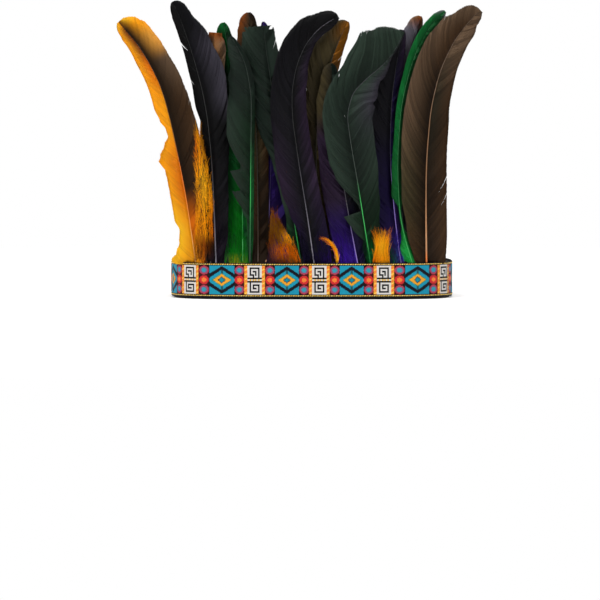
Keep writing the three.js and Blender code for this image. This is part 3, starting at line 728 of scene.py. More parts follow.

# name: rows of (along, left edge, left middle, right middle, right edge), or of (along, colour) where
# one colour goes right across, and the shaft's colours; the slate at feather_black_left's right edge is
# painted sheen
LOOKS = {
    "feather_amber_left": (
        [
            (0, "sun", "amber", "amber", "flame"),
            (0.12, "sun", "amber", "flame", "rust"),
            (0.3, "amber", "flame", "umber", "bark"),
            (0.6, "amber", "amber", "umber", "bark"),
            (0.78, "amber", "flame", "umber", "taupe"),
            (0.87, "amber", "rust", "umber", "straw"),
            (0.95, "amber", "rust", "umber", "amber"),
            (1, "sun", "amber", "honey", "sun"),
        ],
        [(0, "straw"), (0.35, "flame"), (0.5, "honey"), (0.9, "taupe")],
    ),
    "feather_brown_left": (
        [
            (0, "umber"),
            (0.75, "bark", "taupe", "taupe", "taupe"),
            (0.95, "taupe", "taupe", "tan", "taupe"),
            (1, "rust"),
        ],
        [(0, "bark"), (0.9, "taupe")],
    ),
    "feather_black_left": (
        [
            (0, "ink", "ink", "plum", "ink"),
            (0.2, "soot", "soot", "ink", "ink"),
            (0.5, "soot"),
            # Painted sheen: the slate at the right edge in this row and the next is a lighter streak
            # that stands in for light along the barbs.
            (0.64, "soot", "soot", "soot", "slate"),
            (0.78, "soot", "soot", "ink", "slate"),
            (0.9, "soot", "soot", "soot", "ink"),
            (1, "soot"),
        ],
        [(0, "horn"), (0.25, "slate"), (0.42, "soot")],
    ),
    "feather_emerald_left": (
        [
            (0, "grass", "grass", "grass", "emerald"),
            (0.12, "emerald", "grass", "emerald", "pine"),
            (0.5, "emerald", "emerald", "emerald", "pine"),
            (0.75, "pine", "pine", "pine", "bottle"),
            (0.93, "pine", "emerald", "pine", "bottle"),
            (1, "leaf", "leaf", "emerald", "leaf"),
        ],
        [(0, "bright"), (0.35, "leaf")],
    ),
    "feather_green_left": (
        [
            (0, "emerald", "pine", "pine", "emerald"),
            (0.3, "moss", "pine", "emerald", "emerald"),
            (0.55, "moss", "pine", "pine", "pine"),
            (0.8, "bottle"),
            (1, "moss", "bottle", "bottle", "bottle"),
        ],
        [(0, "pine"), (0.15, "leaf"), (0.3, "bright"), (0.6, "moss")],
    ),
    "feather_olive_left": (
        [
            (0, "umber"),
            (0.25, "bark", "bark", "umber", "umber"),
            (0.5, "drab", "drab", "drab", "bark"),
            (0.85, "bark", "drab", "drab", "bark"),
            (1, "rust", "bark", "umber", "umber"),
        ],
        [(0, "bark"), (0.35, "olive")],
    ),
    "feather_violet_left": (
        [
            (0, "plum", "plum", "plum", "grape"),
            (0.3, "grape"),
            (0.9, "indigo"),
            (1, "grape"),
        ],
        [(0, "cream"), (0.2, "lilac"), (0.3, "grape")],
    ),
    "feather_green_middle": (
        [
            (0, "leaf", "pine", "pine", "soot"),
            (0.25, "moss", "bottle", "bottle", "soot"),
            (0.6, "bottle"),
            (1, "moss", "bottle", "bottle", "bottle"),
        ],
        [(0, "pine"), (0.1, "bright"), (0.2, "leaf"), (0.45, "moss"), (0.6, "bottle")],
    ),
    "feather_black_middle": (
        [
            (0, "indigo", "ink", "ink", "indigo"),
            (0.3, "plum", "ink", "ink", "plum"),
            (0.6, "ink", "ink", "soot", "plum"),
            (1, "soot", "soot", "soot", "ink"),
        ],
        [(0, "horn"), (0.3, "slate"), (0.45, "soot"), (0.8, "ink"), (1, "horn")],
    ),
    "feather_olive_middle": (
        [
            (0, "umber"),
            (0.4, "taupe", "olive", "drab", "bark"),
            (0.75, "drab", "olive", "drab", "tan"),
            (0.88, "drab", "drab", "honey", "honey"),
            (1, "drab", "honey", "honey", "honey"),
        ],
        [(0, "drab"), (0.35, "olive")],
    ),
    "feather_plum_middle": (
        [
            (0, "grape", "violet", "indigo", "indigo"),
            (0.15, "grape", "grape", "indigo", "ink"),
            (0.35, "plum", "plum", "ink", "ink"),
            (0.62, "plum", "plum", "ink", "bottle"),
            (0.78, "drab", "olive", "bottle", "bottle"),
            (1, "drab", "olive", "bottle", "bottle"),
        ],
        [(0, "lilac"), (0.3, "slate"), (0.5, "plum"), (0.8, "olive")],
    ),
    "feather_green_sickle": (
        [
            (0, "emerald", "emerald", "leaf", "emerald"),
            (0.15, "moss", "pine", "pine", "pine"),
            (0.4, "moss", "bottle", "bottle", "moss"),
            (0.7, "moss", "bottle", "moss", "slate"),
            (1, "moss", "moss", "bottle", "ink"),
        ],
        [(0, "bright"), (0.22, "bright"), (0.35, "moss"), (0.9, "slate")],
    ),
    "feather_violet_right": (
        [
            (0, "indigo", "grape", "grape", "grape"),
            (0.3, "indigo", "indigo", "grape", "indigo"),
            (0.6, "ink", "ink", "indigo", "indigo"),
            (1, "soot", "ink", "ink", "plum"),
        ],
        [(0, "lilac"), (0.3, "lilac"), (0.45, "indigo"), (0.9, "ink")],
    ),
    "feather_grey_right": (
        [
            (0, "ink"),
            (0.8, "slate"),
            (0.93, "ash", "ash", "slate", "slate"),
            (1, "tan", "rust", "rust", "tan"),
        ],
        [(0, "slate"), (0.9, "ash")],
    ),
    "feather_emerald_right": (
        [
            (0, "bright", "bright", "bright", "leaf"),
            (0.2, "emerald", "leaf", "emerald", "leaf"),
            (0.6, "leaf", "leaf", "emerald", "emerald"),
            (0.95, "leaf", "emerald", "emerald", "leaf"),
            (1, "ash", "leaf", "leaf", "ash"),
        ],
        [(0, "bright"), (0.35, "leaf")],
    ),
    "feather_brown_right": (
        [
            (0, "bark", "umber", "umber", "bark"),
            (0.25, "drab", "umber", "umber", "bark"),
            (0.6, "taupe", "umber", "olive", "bark"),
            (0.9, "taupe", "bark", "taupe", "taupe"),
            (1, "taupe"),
        ],
        [(0, "flame"), (0.06, "cream"), (0.3, "tan"), (0.9, "taupe")],
    ),
}

# Where a vane has parted: the side, the share of the length, and the opening in millimetres
PARTS = {
    "feather_amber_left": [(1, 0.47, 0.4), (-1, 0.2, 0.4)],
    "feather_black_left": [(-1, 0.79, 2.4), (-1, 0.64, 0.9), (1, 0.66, 0.6), (1, 0.52, 0.4)],
    "feather_green_left": [(-1, 0.62, 0.5)],
    "feather_green_middle": [(1, 0.52, 0.6), (-1, 0.8, 0.4), (1, 0.86, 1.2)],
    "feather_black_middle": [(1, 0.32, 0.4)],
    "feather_olive_middle": [(-1, 0.5, 1.2), (-1, 0.55, 0.9), (-1, 0.6, 1.2), (1, 0.8, 1.0)],
    "feather_green_sickle": [(-1, 0.17, 0.5), (1, 0.42, 0.4)],
    "feather_brown_right": [(1, 0.205, 0.9), (1, 0.14, 0.7), (-1, 0.76, 0.5)],
}

# %% [markdown]
# ## The material of a dyed vane
# Keratin barbs are satin, not glossy: the eye sees a soft sheen that runs along them and small steps
# of shade from one clump of barbs to the next. The colour is blended between the feather's four colour
# ramps by how far along the shaft and how far out on the vane a point lies. The ramps hold dyes, and on
# the black feather at the left they also hold a painted sheen.

# %% Materials of the vanes and the shafts
FACTS = ("along", "reach", "tint")


def facts_in(tree):
    """How far along and how far out a point lies, and its barb's tint, as the shader reads them."""
    nodes = [add_node(tree, "ShaderNodeAttribute", attribute_name=fact) for fact in FACTS]
    return [node.outputs["Fac"] for node in nodes]


def ramp_along(tree, along, rows, column):
    """The colours of one column of a feather's rows, running into each other from root to tip."""
    ramp = add_node(tree, "ShaderNodeValToRGB", {"Fac": along})
    ramp.color_ramp.interpolation = "EASE"
    stops = ramp.color_ramp.elements
    stops.remove(stops[0])
    for number, row in enumerate(rows):
        stop = stops.new(row[0]) if number else stops[0]
        stop.position = row[0]
        stop.color = linear(DYES_AND_SHEEN[row[min(column, len(row) - 1)]])
    return ramp.outputs["Color"]


def vane_material(name, rows, contrast):
    material, tree, shader = new_material(
        "keratin_barbs_" + name,
        Roughness=0.5,
        IOR=1.54,
        Specular_IOR_Level=0.09,
    )
    along, reach, tint = facts_in(tree)
    left_edge, left, right, right_edge = (ramp_along(tree, along, rows, k) for k in (1, 2, 3, 4))
    on_right = add_node(tree, "ShaderNodeMath", {0: reach, 1: 0.0}, operation="GREATER_THAN")
    out = add_node(tree, "ShaderNodeMath", {0: reach}, operation="ABSOLUTE").outputs[0]
    spread = add_node(
        tree, "ShaderNodeMapRange", {"Value": out}, interpolation_type="SMOOTHSTEP"
    ).outputs["Result"]
    left_vane = blend(tree, spread, left, left_edge)
    right_vane = blend(tree, spread, right, right_edge)
    base_colour = blend(tree, on_right.outputs[0], left_vane, right_vane)
    shade = add_node(
        tree,
        "ShaderNodeMapRange",
        {"Value": tint, "From Min": -1.0, "To Min": 1 - contrast, "To Max": 1 + contrast},
    )
    stepped = add_node(
        tree, "ShaderNodeHueSaturation", {"Value": shade.outputs["Result"], "Color": base_colour}
    )
    tree.links.new(stepped.outputs["Color"], shader.inputs["Base Color"])
    return material


def shaft_material(name, colours):
    material, tree, shader = new_material("horn_shaft_" + name, Roughness=0.35, IOR=1.54)
    base_colour = ramp_along(tree, facts_in(tree)[0], colours, 1)
    place = add_node(tree, "ShaderNodeTexCoord").outputs["Object"]
    streak = add_node(tree, "ShaderNodeTexNoise", {"Vector": place, "Scale": 900.0, "Detail": 3.0})
    shade = add_node(
        tree, "ShaderNodeMapRange", {"Value": streak.outputs["Fac"], "To Min": 0.75, "To Max": 1.2}
    )
    stepped = add_node(
        tree, "ShaderNodeHueSaturation", {"Value": shade.outputs["Result"], "Color": base_colour}
    )
    tree.links.new(stepped.outputs["Color"], shader.inputs["Base Color"])
    return material


# %% [markdown]
# ## Building the feathers
# Each feather is its barbs and its shaft joined into one body. The random clumps come from one seeded
# source for each feather, so the model is the same each time it is built.

# %% Build every feather
USUAL_THICKNESS = 0.4
SHAFT_THICKNESS = {"feather_brown_right": 0.62, "feather_black_left": 0.52}
USUAL_CONTRAST = 0.42
CONTRAST = {"feather_amber_left": 0.16, "feather_emerald_right": 0.25}
SLIT_EVERY = 70
SMALL_SLITS = (0.06, 0.2)
SLITS_BETWEEN = (0.2, 0.5)


def small_parts(random, length):
    """Slits too small to place by hand, one or two in a vane, below where it bends."""
    places = random.uniform(*SLITS_BETWEEN, int(length / SLIT_EVERY))
    return [(where, random.uniform(*SMALL_SLITS)) for where in places]


def build_feather(name, seed):
    shaft = shafts[name]
    random = np.random.default_rng(seed)
    rows, shaft_colours = LOOKS[name]
    laid = []
    for side in (-1, 1):
        chosen = [(where, opening) for s, where, opening in PARTS.get(name, []) if s == side]
        laid.append(lay_barbs(shaft, side, chosen + small_parts(random, shaft.length), random))
    places = np.concatenate([part[0] for part in laid])
    facts = [np.concatenate([part[1][k] for part in laid]) for k in range(3)]
    vane = copies_of(barb, name + "_made", len(places) // len(barb_points))
    set_points(vane, to_frame(places))
    vane.data.materials.append(vane_material(name, rows, CONTRAST.get(name, USUAL_CONTRAST)))
    quill = rod_copy()
    quill_places, quill_share = lay_shaft(shaft, SHAFT_THICKNESS.get(name, USUAL_THICKNESS))
    set_points(quill, to_frame(quill_places))
    quill.data.materials.append(shaft_material(name, shaft_colours))
    only(vane)
    quill.select_set(True)
    bpy.ops.object.join()
    for fact, values in zip(FACTS, facts):
        ends = quill_share if fact == "along" else np.zeros(len(quill_share))
        set_fact(vane, fact, np.concatenate([values, ends]))
    face_outwards(vane)
    bpy.ops.object.shade_smooth()
    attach(vane, "root")
    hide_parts(name)
    return vane


feathers = [build_feather(name, 40 + number) for number, name in enumerate(FEATHERS)]
print("feathers:", len(feathers), "faces:", sum(len(f.data.polygons) for f in feathers))

# %% [markdown]
# ## Down
# A tuft is the downy base of a feather: limp barbs whose tiny side branches, the barbules, don't hook
# together, so it looks like a small flame of fluff. A hair system would be quick, but it isn't a mesh
# and would be lost, so the same barb is used again, and one spike is modelled for the barbules. Real
# barbules are a fiftieth of a millimetre thick. These are drawn four times coarser, so they show.

# %% Model one barbule
bpy.ops.object.select_all(action="DESELECT")
bpy.ops.mesh.primitive_cone_add(
    vertices=3, radius1=0.5, radius2=0, depth=1, location=(0.5, 0, 0), rotation=(0, np.pi / 2, 0)
)
bpy.ops.object.transform_apply(location=True, rotation=True, scale=True)
spike = bpy.context.object
spike.name = "barbule"
spike_points = points_of(spike)
print("one barbule:", len(spike_points), "vertices")

# %% [markdown]
# ## Growing a patch of down
# The barbs of a patch start across its foot and run up along its limp shaft, between a left and a
# right edge. Each wanders a little, some towards the eye and some away, which gives the tuft its
# depth. The same down grows at the foot of some feathers, where their barbs are too soft to hook.

# %% Lay out a patch of down
KINDS["stem"] = [(0, 0, 0.3, 0.3), (0.25, 0.1, 1, 1), (0.6, 0.5, 0.8, 0.8), (1, 1, 0.15, 0.15)]
TUFT_LAYER = -1
STEM_BEHIND = 0.5
DOWN_WIDTH = 0.2
BARBULE_WIDTH = 0.08

# name: root, length, lean, bow
TUFTS = {
    "tuft_amber_left": (-0.745, 0.507, -1, -6),
    "tuft_orange_middle": (-0.195, 0.192, -13, 2),
    "tuft_yellow_curl": (0.176, 0.13, -2, -85),
    "tuft_orange_right": (0.487, 0.13, 1, 0),
}

# name: edges as (share, left, right) in millimetres, the span of the barbs' starts, a barb's length,
# its straying, the patch's depth, a barbule's length, and how many barbs and barbules on each
PATCHES = {
    "tuft_amber_left": (
        [(0, -6.5, 4.5), (0.2, -5.5, 4.5), (0.45, -4, 4.6), (0.75, -3, 3), (1, -1.4, 1)],
        (0, 0.94), 9, 0.9, 1.6, 1.3, 520, 14,
    ),
    "tuft_orange_middle": (
        [(0, -8.5, 9), (0.4, -6, 6.5), (0.8, -2.4, 2.8), (1, -1, 1.2)],
        (-0.1, 0.85), 8, 0.8, 1.8, 1.3, 560, 14,
    ),
    "tuft_yellow_curl": (
        [(0, -0.8, 0.9), (0.5, -0.7, 0.8), (1, -0.9, 0.9)], (0, 0.62), 6.5, 0.6, 0.7, 0.5, 100, 5,
    ),
    "tuft_orange_right": (
        [(0, -4.6, 4.6), (0.3, -3.4, 3.2), (0.5, -3, 3), (0.75, -3.8, 4), (1, -6, 6)],
        (-0.1, 0.42), 12, 0.9, 1.8, 0.9, 480, 9,
    ),
    "feather_emerald_left": (
        [(0, -9.5, 3), (0.1, -11, 4), (0.2, -11.5, 4), (0.3, -8, 3)],
        (-0.03, 0.24), 9, 0.9, 1.0, 1.2, 260, 10,
    ),
    "feather_plum_middle": ([(0, -11, -1), (0.2, -12, -2)], (-0.03, 0.14), 8, 0.9, 1.0, 1.2, 160, 10),
    "feather_violet_right": ([(0, -10, 2), (0.2, -11, 2)], (-0.03, 0.1), 8, 0.9, 1.0, 1.2, 140, 10),
    "feather_green_sickle": ([(0, -3, 6), (0.1, -2.5, 8)], (-0.03, 0.08), 8, 0.8, 0.8, 1.2, 110, 10),
    "feather_black_middle": ([(0, -7, 10), (0.15, -6, 9)], (-0.03, 0.1), 8, 0.9, 0.8, 1.2, 130, 8),
    "feather_black_left": ([(0, -4, 6.5), (0.15, -4, 7)], (-0.03, 0.12), 8, 0.9, 0.8, 1.2, 110, 8),
}


THICKER_LOW = 1.3
BARB_LENGTHS = (0.45, 1.1)
SPLAY, SWAY = 0.6, 0.3
STRAY_CURVE = 1.6
DOWN_FORWARD = 0.2


def beyond_tip(shaft, station, across):
    """Places beside a shaft, also past its tip, where the line runs straight on."""
    x, z, angle = shaft.at(np.minimum(station, 1))
    past = np.maximum(station - 1, 0) * shaft.length
    x = x + past * np.sin(angle) + across * np.cos(angle)
    return x, z + past * np.cos(angle) - across * np.sin(angle)


def down_paths(shaft, patch, random):
    """Paths of a patch's barbs, with stations up the shaft and ranks from left to right."""
    edges, span, length, straying, depth, _, count, _ = patch
    start = span[0] + (span[1] - span[0]) * random.uniform(0, 1, count) ** THICKER_LOW
    rank = random.uniform(-1, 1, count)
    run = np.linspace(0, 1, BARB_CUTS + 2)[None, :]
    long = length * random.uniform(*BARB_LENGTHS, count) / shaft.length
    station = start[:, None] + long[:, None] * run
    shares, left, right = (np.array(column, float) for column in zip(*edges))
    left, right = (np.interp(station, shares, edge) for edge in (left, right))
    across = (left + right) / 2 + rank[:, None] * (right - left) / 2
    stray = (random.normal(0, straying, count) + SPLAY * straying * rank)[:, None]
    sway = random.normal(0, SWAY * straying, count)[:, None]
    across = across + stray * run**STRAY_CURVE + sway * np.sin(5 * run + 6 * rank[:, None])
    x, z = beyond_tip(shaft, station, across)
    z = np.maximum(z, BAND_TOP - 1)
    off = random.uniform(-1, 0.5, count)[:, None] * depth * (0.3 + 0.7 * run)
    y = wall_depth(x, z, shaft.layer) + off - DOWN_FORWARD
    return np.stack([x, y, z], axis=-1), station, rank


# %% [markdown]
# The barbs of the down narrow all the way to their tips. Their barbules stand off on both sides at
# wide and uneven angles, longest near the barb's foot, and a few point forwards or back.

# %% Lay barbs and barbules along the paths
DOWN_TAPER = 0.75
BARBULE_ANGLES = (22, 62)
BARBULE_LENGTHS = (0.35, 1.15)
BARBULE_FORWARD = 0.35
SHORTER_OUT = 0.45


def lay_strands(path, width, height):
    """Vertex places of barbs laid along paths, flat side to the front."""
    rings = path.shape[1]
    run = unit(np.gradient(path, axis=1))
    flat = unit(np.cross(run, [0, -1, 0]))
    out = np.cross(flat, run)
    ring = np.rint(barb_points[:, 0] * (rings - 1)).astype(int)
    taper = 1 - DOWN_TAPER * barb_points[:, 0]
    places = path[:, ring] + flat[:, ring] * (barb_points[:, 1] * taper * width)[None, :, None]
    places = places + out[:, ring] * (barb_points[:, 2] * taper * height)[None, :, None]
    return places.reshape(-1, 3), ring


def lay_barbules(path, each, size, random):
    """Vertex places of the barbules on every barb, and how far out each one sits."""
    count, rings = path.shape[:2]
    where = random.uniform(0.06, 1, (count, each))
    low = np.minimum((where * (rings - 1)).astype(int), rings - 2)
    part = (where * (rings - 1) - low)[..., None]
    row = np.arange(count)[:, None]
    root = path[row, low] * (1 - part) + path[row, low + 1] * part
    run = unit(path[row, low + 1] - path[row, low])
    beside = unit(np.cross(run, [0, -1, 0]))
    side = np.where(random.uniform(0, 1, (count, each)) < 0.5, -1, 1)
    spread = np.radians(random.uniform(*BARBULE_ANGLES, (count, each)))
    depth = random.normal(0, BARBULE_FORWARD, (count, each))
    aim = run * np.cos(spread)[..., None] + beside * (side * np.sin(spread))[..., None]
    aim = unit(aim + np.array([0, 1, 0]) * depth[..., None])
    size = size * random.uniform(*BARBULE_LENGTHS, (count, each)) * (1 - SHORTER_OUT * where)
    across = unit(np.cross(aim, [0.3, 0.2, 1]))
    up = np.cross(aim, across)
    length = spike_points[:, 0][:, None] * size.reshape(-1)[:, None, None]
    places = root.reshape(-1, 1, 3) + aim.reshape(-1, 1, 3) * length
    places = places + across.reshape(-1, 1, 3) * spike_points[:, 1][:, None] * BARBULE_WIDTH
    places = places + up.reshape(-1, 1, 3) * spike_points[:, 2][:, None] * BARBULE_WIDTH
    return places.reshape(-1, 3), where


# %% [markdown]
# ## The material of dyed down
# Down has no gloss at all, and lets light through its edges, so it looks brightest where it is thin.
# The colours run from the patch's foot to its tip, and from its left edge to its right.

# %% Material of the down
# name: rows of (along, left, middle, right), or of (along, dye)
DOWN_LOOKS = {
    "tuft_amber_left": [
        (0, "rust", "bark", "plum"), (0.12, "honey", "rust", "umber"),
        (0.25, "amber", "amber", "flame"), (0.6, "amber", "sun", "amber"),
        (0.85, "flame", "amber", "honey"), (1, "honey", "amber", "honey"),
    ],
    "tuft_orange_middle": [
        (0, "plum", "rust", "flame"), (0.25, "plum", "flame", "flame"),
        (0.45, "rust", "honey", "amber"), (0.7, "honey"), (1, "honey", "rust", "rust"),
    ],
    "tuft_yellow_curl": [
        (0, "amber", "sun", "amber"), (0.5, "flame", "amber", "amber"), (1, "rust", "flame", "flame"),
    ],
    "tuft_orange_right": [
        (0, "flame", "amber", "amber"), (0.5, "amber", "sun", "amber"), (0.9, "flame", "amber", "flame"),
        (1, "honey", "flame", "honey"),
    ],
    "feather_emerald_left": [
        (0, "grass", "lime", "grass"), (0.045, "grass"),
        (0.3, "emerald", "grass", "emerald"),
    ],
    "feather_plum_middle": [(0, "violet", "violet", "grape"), (0.2, "grape", "grape", "indigo")],
    "feather_violet_right": [(0, "grape", "emerald", "violet"), (0.15, "indigo", "grape", "violet")],
    "feather_green_sickle": [(0, "soot", "leaf", "leaf"), (0.12, "pine", "emerald", "emerald")],
    "feather_black_middle": [(0, "soot", "indigo", "grape"), (0.15, "soot", "ink", "plum")],
    "feather_black_left": [(0, "umber", "ink", "plum"), (0.15, "soot", "ink", "ink")],
}


def down_material(name, rows):
    material, tree, shader = new_material(
        "dyed_down_" + name, Roughness=0.95, IOR=1.54, Specular_IOR_Level=0.04
    )
    along, reach, tint = facts_in(tree)
    left, middle, right = (ramp_along(tree, along, rows, column) for column in (1, 2, 3))
    halves = [
        add_node(
            tree, "ShaderNodeMapRange", {"Value": reach, "From Min": low, "From Max": low + 1.0}
        ).outputs["Result"]
        for low in (-1.0, 0.0)
    ]
    colour = blend(tree, halves[1], blend(tree, halves[0], left, middle), right)
    shade = add_node(
        tree,
        "ShaderNodeMapRange",
        {"Value": tint, "From Min": -1.0, "From Max": 1.0, "To Min": 0.6, "To Max": 1.35},
    ).outputs["Result"]
    shaded = add_node(tree, "ShaderNodeHueSaturation", {"Value": shade, "Color": colour})
    tree.links.new(shaded.outputs["Color"], shader.inputs["Base Color"])
    return material


# %% [markdown]
# ## Building the down
# A patch is its barbs and barbules joined into one body. A tuft also has its own thin shaft, and the
# down at a feather's foot is joined to that feather.

# %% Grow the tufts and the down at the feathers' feet
def join_all(pieces, name):
    """Joins meshes into the first, with the first one's materials before the others'."""
    only(pieces[0])
    for piece in pieces[1:]:
        piece.select_set(True)
    bpy.ops.object.join()
    pieces[0].name = pieces[0].data.name = name
    return pieces[0]


def grow_down(name, shaft, random):
    """The barbs and barbules of one patch, in one body with its material and facts."""
    patch = PATCHES[name]
    size, _, each = patch[5:]
    path, station, rank = down_paths(shaft, patch, random)
    places, ring = lay_strands(path, DOWN_WIDTH, 0.6 * DOWN_WIDTH)
    barbs = copies_of(barb, name + "_down", len(path))
    set_points(barbs, to_frame(places))
    barbs.data.materials.append(down_material(name, DOWN_LOOKS[name]))
    spikes, where = lay_barbules(path, each, size, random)
    barbules = copies_of(spike, name + "_barbules", where.size)
    set_points(barbules, to_frame(spikes))
    barbules.data.materials.append(barbs.data.materials[0])
    whole = join_all([barbs, barbules], name + "_down")
    corners = len(spike_points)
    run_of = station[:, :1] + (station[:, -1:] - station[:, :1]) * where
    along = [station[:, ring].ravel(), np.repeat(run_of.ravel(), corners)]
    reach = [np.repeat(rank, len(ring)), np.repeat(rank, each * corners)]
    tint = random.uniform(-1, 1, len(path))
    tints = [np.repeat(tint, len(ring)), np.repeat(tint, each * corners)]
    for fact, values in zip(FACTS, (along, reach, tints)):
        set_fact(whole, fact, np.concatenate(values))
    return whole


def build_tuft(name, seed):
    random = np.random.default_rng(seed)
    shaft = Shaft("stem", TUFT_LAYER, *TUFTS[name], 0, 0)
    whole = grow_down(name, shaft, random)
    quill = rod_copy()
    quill_places, quill_share = lay_shaft(shaft, USUAL_THICKNESS)
    quill_places[:, 1] += STEM_BEHIND
    set_points(quill, to_frame(quill_places))
    quill.data.materials.append(whole.data.materials[0])
    set_fact(quill, "along", quill_share)
    whole = join_all([whole, quill], name + "_made")
    face_outwards(whole)
    bpy.ops.object.shade_smooth()
    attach(whole, "root")
    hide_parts(name)
    return whole


tufts = [build_tuft(name, 90 + number) for number, name in enumerate(TUFTS)]
print("tufts:", len(tufts), "faces:", sum(len(t.data.polygons) for t in tufts))
for feather, name in zip(feathers, FEATHERS):
    if name in PATCHES:
        down = grow_down(name, shafts[name], np.random.default_rng(len(name)))
        face_outwards(down)
        join_all([feather, down], name + "_made")

# %% [markdown]
# ## The band's plan
# Seen from above, the band is a rounded oblong, flatter across the forehead than at the back. Both the
# ribbon and the felt follow it. Distances run along the ribbon's face from the middle of the
# forehead, with + to the right in the front view, so that a pattern can be placed with a tape measure.

# %% Work out the plan by distance
PLAN_STEPS = 4096


def plan_outline():
    """Places round the ribbon's face, and their distances from the middle of the forehead."""
    angle = np.linspace(-1.5, 0.5, PLAN_STEPS + 1) * np.pi
    across, away = np.cos(angle), np.sin(angle)
    front = away < 0
    fullness = np.where(front, FRONT_FULLNESS, BACK_FULLNESS)
    x = HALF_WIDTH * np.sign(across) * np.abs(across) ** (2 / fullness)
    y = np.where(front, FRONT_DEPTH, BACK_DEPTH) * np.sign(away) * np.abs(away) ** (2 / fullness)
    distance = np.concatenate([[0], np.cumsum(np.hypot(np.diff(x), np.diff(y)))])
    return x, y, distance - distance[PLAN_STEPS // 2]


plan_x, plan_y, plan_distance = plan_outline()
LOOP = plan_distance[-1] - plan_distance[0]
print("the band's way round:", round(LOOP, 1), "mm")


def on_band(distance, z, inset):
    """Places on the band at distances round it, heights, and depths in from the ribbon's face."""
    (x, y), ahead, behind = (
        [np.interp(around, plan_distance, line) for line in (plan_x, plan_y)]
        for around in ((distance + off + LOOP / 2) % LOOP - LOOP / 2 for off in (0, 0.5, -0.5))
    )
    run_x, run_y = ahead[0] - behind[0], ahead[1] - behind[1]
    size = np.hypot(run_x, run_y)
    return np.stack([x - inset * run_y / size, y + inset * run_x / size, z + 0 * x], axis=-1)


# %% [markdown]
# ## The felt band
# The quills are held in a strip of black felt. A grid is rolled up twice, once round the strip's
# rounded section and once round the head, and its edges are merged, so it is one closed body without
# a seam. Where a quill lies, the felt is pressed in round it.

# %% Model the felt band
FELT_WALL = 2.6
FELT_HEIGHT = 19.4
FELT_ROUNDING = 0.7
FELT_COLUMNS = 720
SECTION_STEPS = 26
SEAM_TURN = 0.125
QUILL_ROOM = 0.35
DENT_EDGE = 1.0


def felt_section(share):
    """A rounded oblong, from 0 to 1 round it: how far in from the felt's face, and the height."""
    angle = share * 2 * np.pi
    half = np.array([FELT_WALL / 2 - FELT_ROUNDING, FELT_HEIGHT / 2 - FELT_ROUNDING])
    rim = np.stack([-np.cos(angle), np.sin(angle)], axis=-1)
    square = rim / np.max(np.abs(rim), axis=-1, keepdims=True)
    round_part = rim * FELT_ROUNDING
    return square * half + round_part + np.array([FELT_WALL / 2, FELT_HEIGHT / 2])


def quill_places():
    """Where each quill crosses the band's top, and the slope at which it goes down."""
    roots = [(row[2], row[4]) for row in FEATHERS.values()]
    roots += [(row[0], row[2]) for row in TUFTS.values()]
    return [(root * HALF_WIDTH, np.tan(np.radians(lean))) for root, lean in roots]


def press_in(places, inset):
    """How deep the felt's face is pressed in by the quills at some places."""
    dent = np.zeros(inset.shape)
    for x, slope in quill_places():
        away = np.abs(places[..., 0] - x - slope * (places[..., 2] - BAND_TOP))
        beside = smooth_step((QUILL_WIDTH / 2 + QUILL_ROOM - away) / DENT_EDGE + 1)
        above = smooth_step((places[..., 2] - BAND_TOP + QUILL_SEAT) / DENT_EDGE + 1)
        dent = np.maximum(dent, beside * above)
    depth = (QUILL_THICKNESS + QUILL_ROOM) * dent
    front = places[..., 1] < 0
    return np.where(front, np.maximum(0, depth - inset), 0)


bpy.ops.object.select_all(action="DESELECT")
bpy.ops.mesh.primitive_grid_add(x_subdivisions=FELT_COLUMNS, y_subdivisions=SECTION_STEPS, size=1)
felt = bpy.context.object
felt.name = "band_felt"
shares = points_of(felt)[:, :2] + 0.5
section = felt_section(shares[:, 1] + SEAM_TURN)
around = (shares[:, 0] - 0.5) * LOOP
felt_inset = RIBBON_WALL + SEAT_GAP
flat_places = on_band(around, section[:, 1], felt_inset + section[:, 0])
pressed = section[:, 0] + press_in(flat_places, section[:, 0])
set_points(felt, to_frame(on_band(around, section[:, 1], felt_inset + pressed)))
face_outwards(felt, merge=0.01 * MM)
bpy.ops.object.shade_smooth()
print("felt faces:", len(felt.data.polygons))

# %% [markdown]
# Felt is wool fibres matted together, with no thread direction. It is quite matt, and pale fibre ends
# and dust make a black felt slightly grey and mottled. The mottling is about a millimetre wide, and
# the fibres a quarter of that.

# %% Material of the felt
FELT_MOTTLE = 1.2
FELT_FIBRE = 0.3
black_felt, tree, shader = new_material(
    "matted_wool_felt", Roughness=0.97, Specular_IOR_Level=0.08, Sheen_Weight=0.12
)
place = add_node(tree, "ShaderNodeTexCoord").outputs["Object"]
mottle = add_node(
    tree, "ShaderNodeTexNoise", {"Vector": place, "Scale": 1 / (FELT_MOTTLE * MM), "Detail": 2.0}
).outputs["Fac"]
fibre = add_node(
    tree, "ShaderNodeTexNoise",
    {"Vector": place, "Scale": 1 / (FELT_FIBRE * MM), "Detail": 3.0, "Distortion": 1.5},
).outputs["Fac"]
colour = blend(tree, mottle, linear("#060506"), linear("#100F10"))
colour = blend(tree, fibre, colour, linear("#181618"))
tree.links.new(colour, shader.inputs["Base Color"])
nap = add_node(tree, "ShaderNodeBump", {"Height": fibre, "Strength": 0.7, "Distance": 0.0003})
tree.links.new(nap.outputs["Normal"], shader.inputs["Normal"])
felt.data.materials.append(black_felt)
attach(felt, "root")
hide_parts("band_backing")

# %% [markdown]
# ## The ribbon's chart
# The ribbon is a jacquard: coloured wefts float over a dark warp, and each place where they cross is a
# cell of one colour, as on a weaver's squared paper. One repeat has a diamond in a turquoise panel, a
# pair of columns of three discs, twisted gold bars, and a Greek key. Most of it is plain geometry, so
# it is worked out from distances. Only the key is drawn cell by cell, because that is what it is.

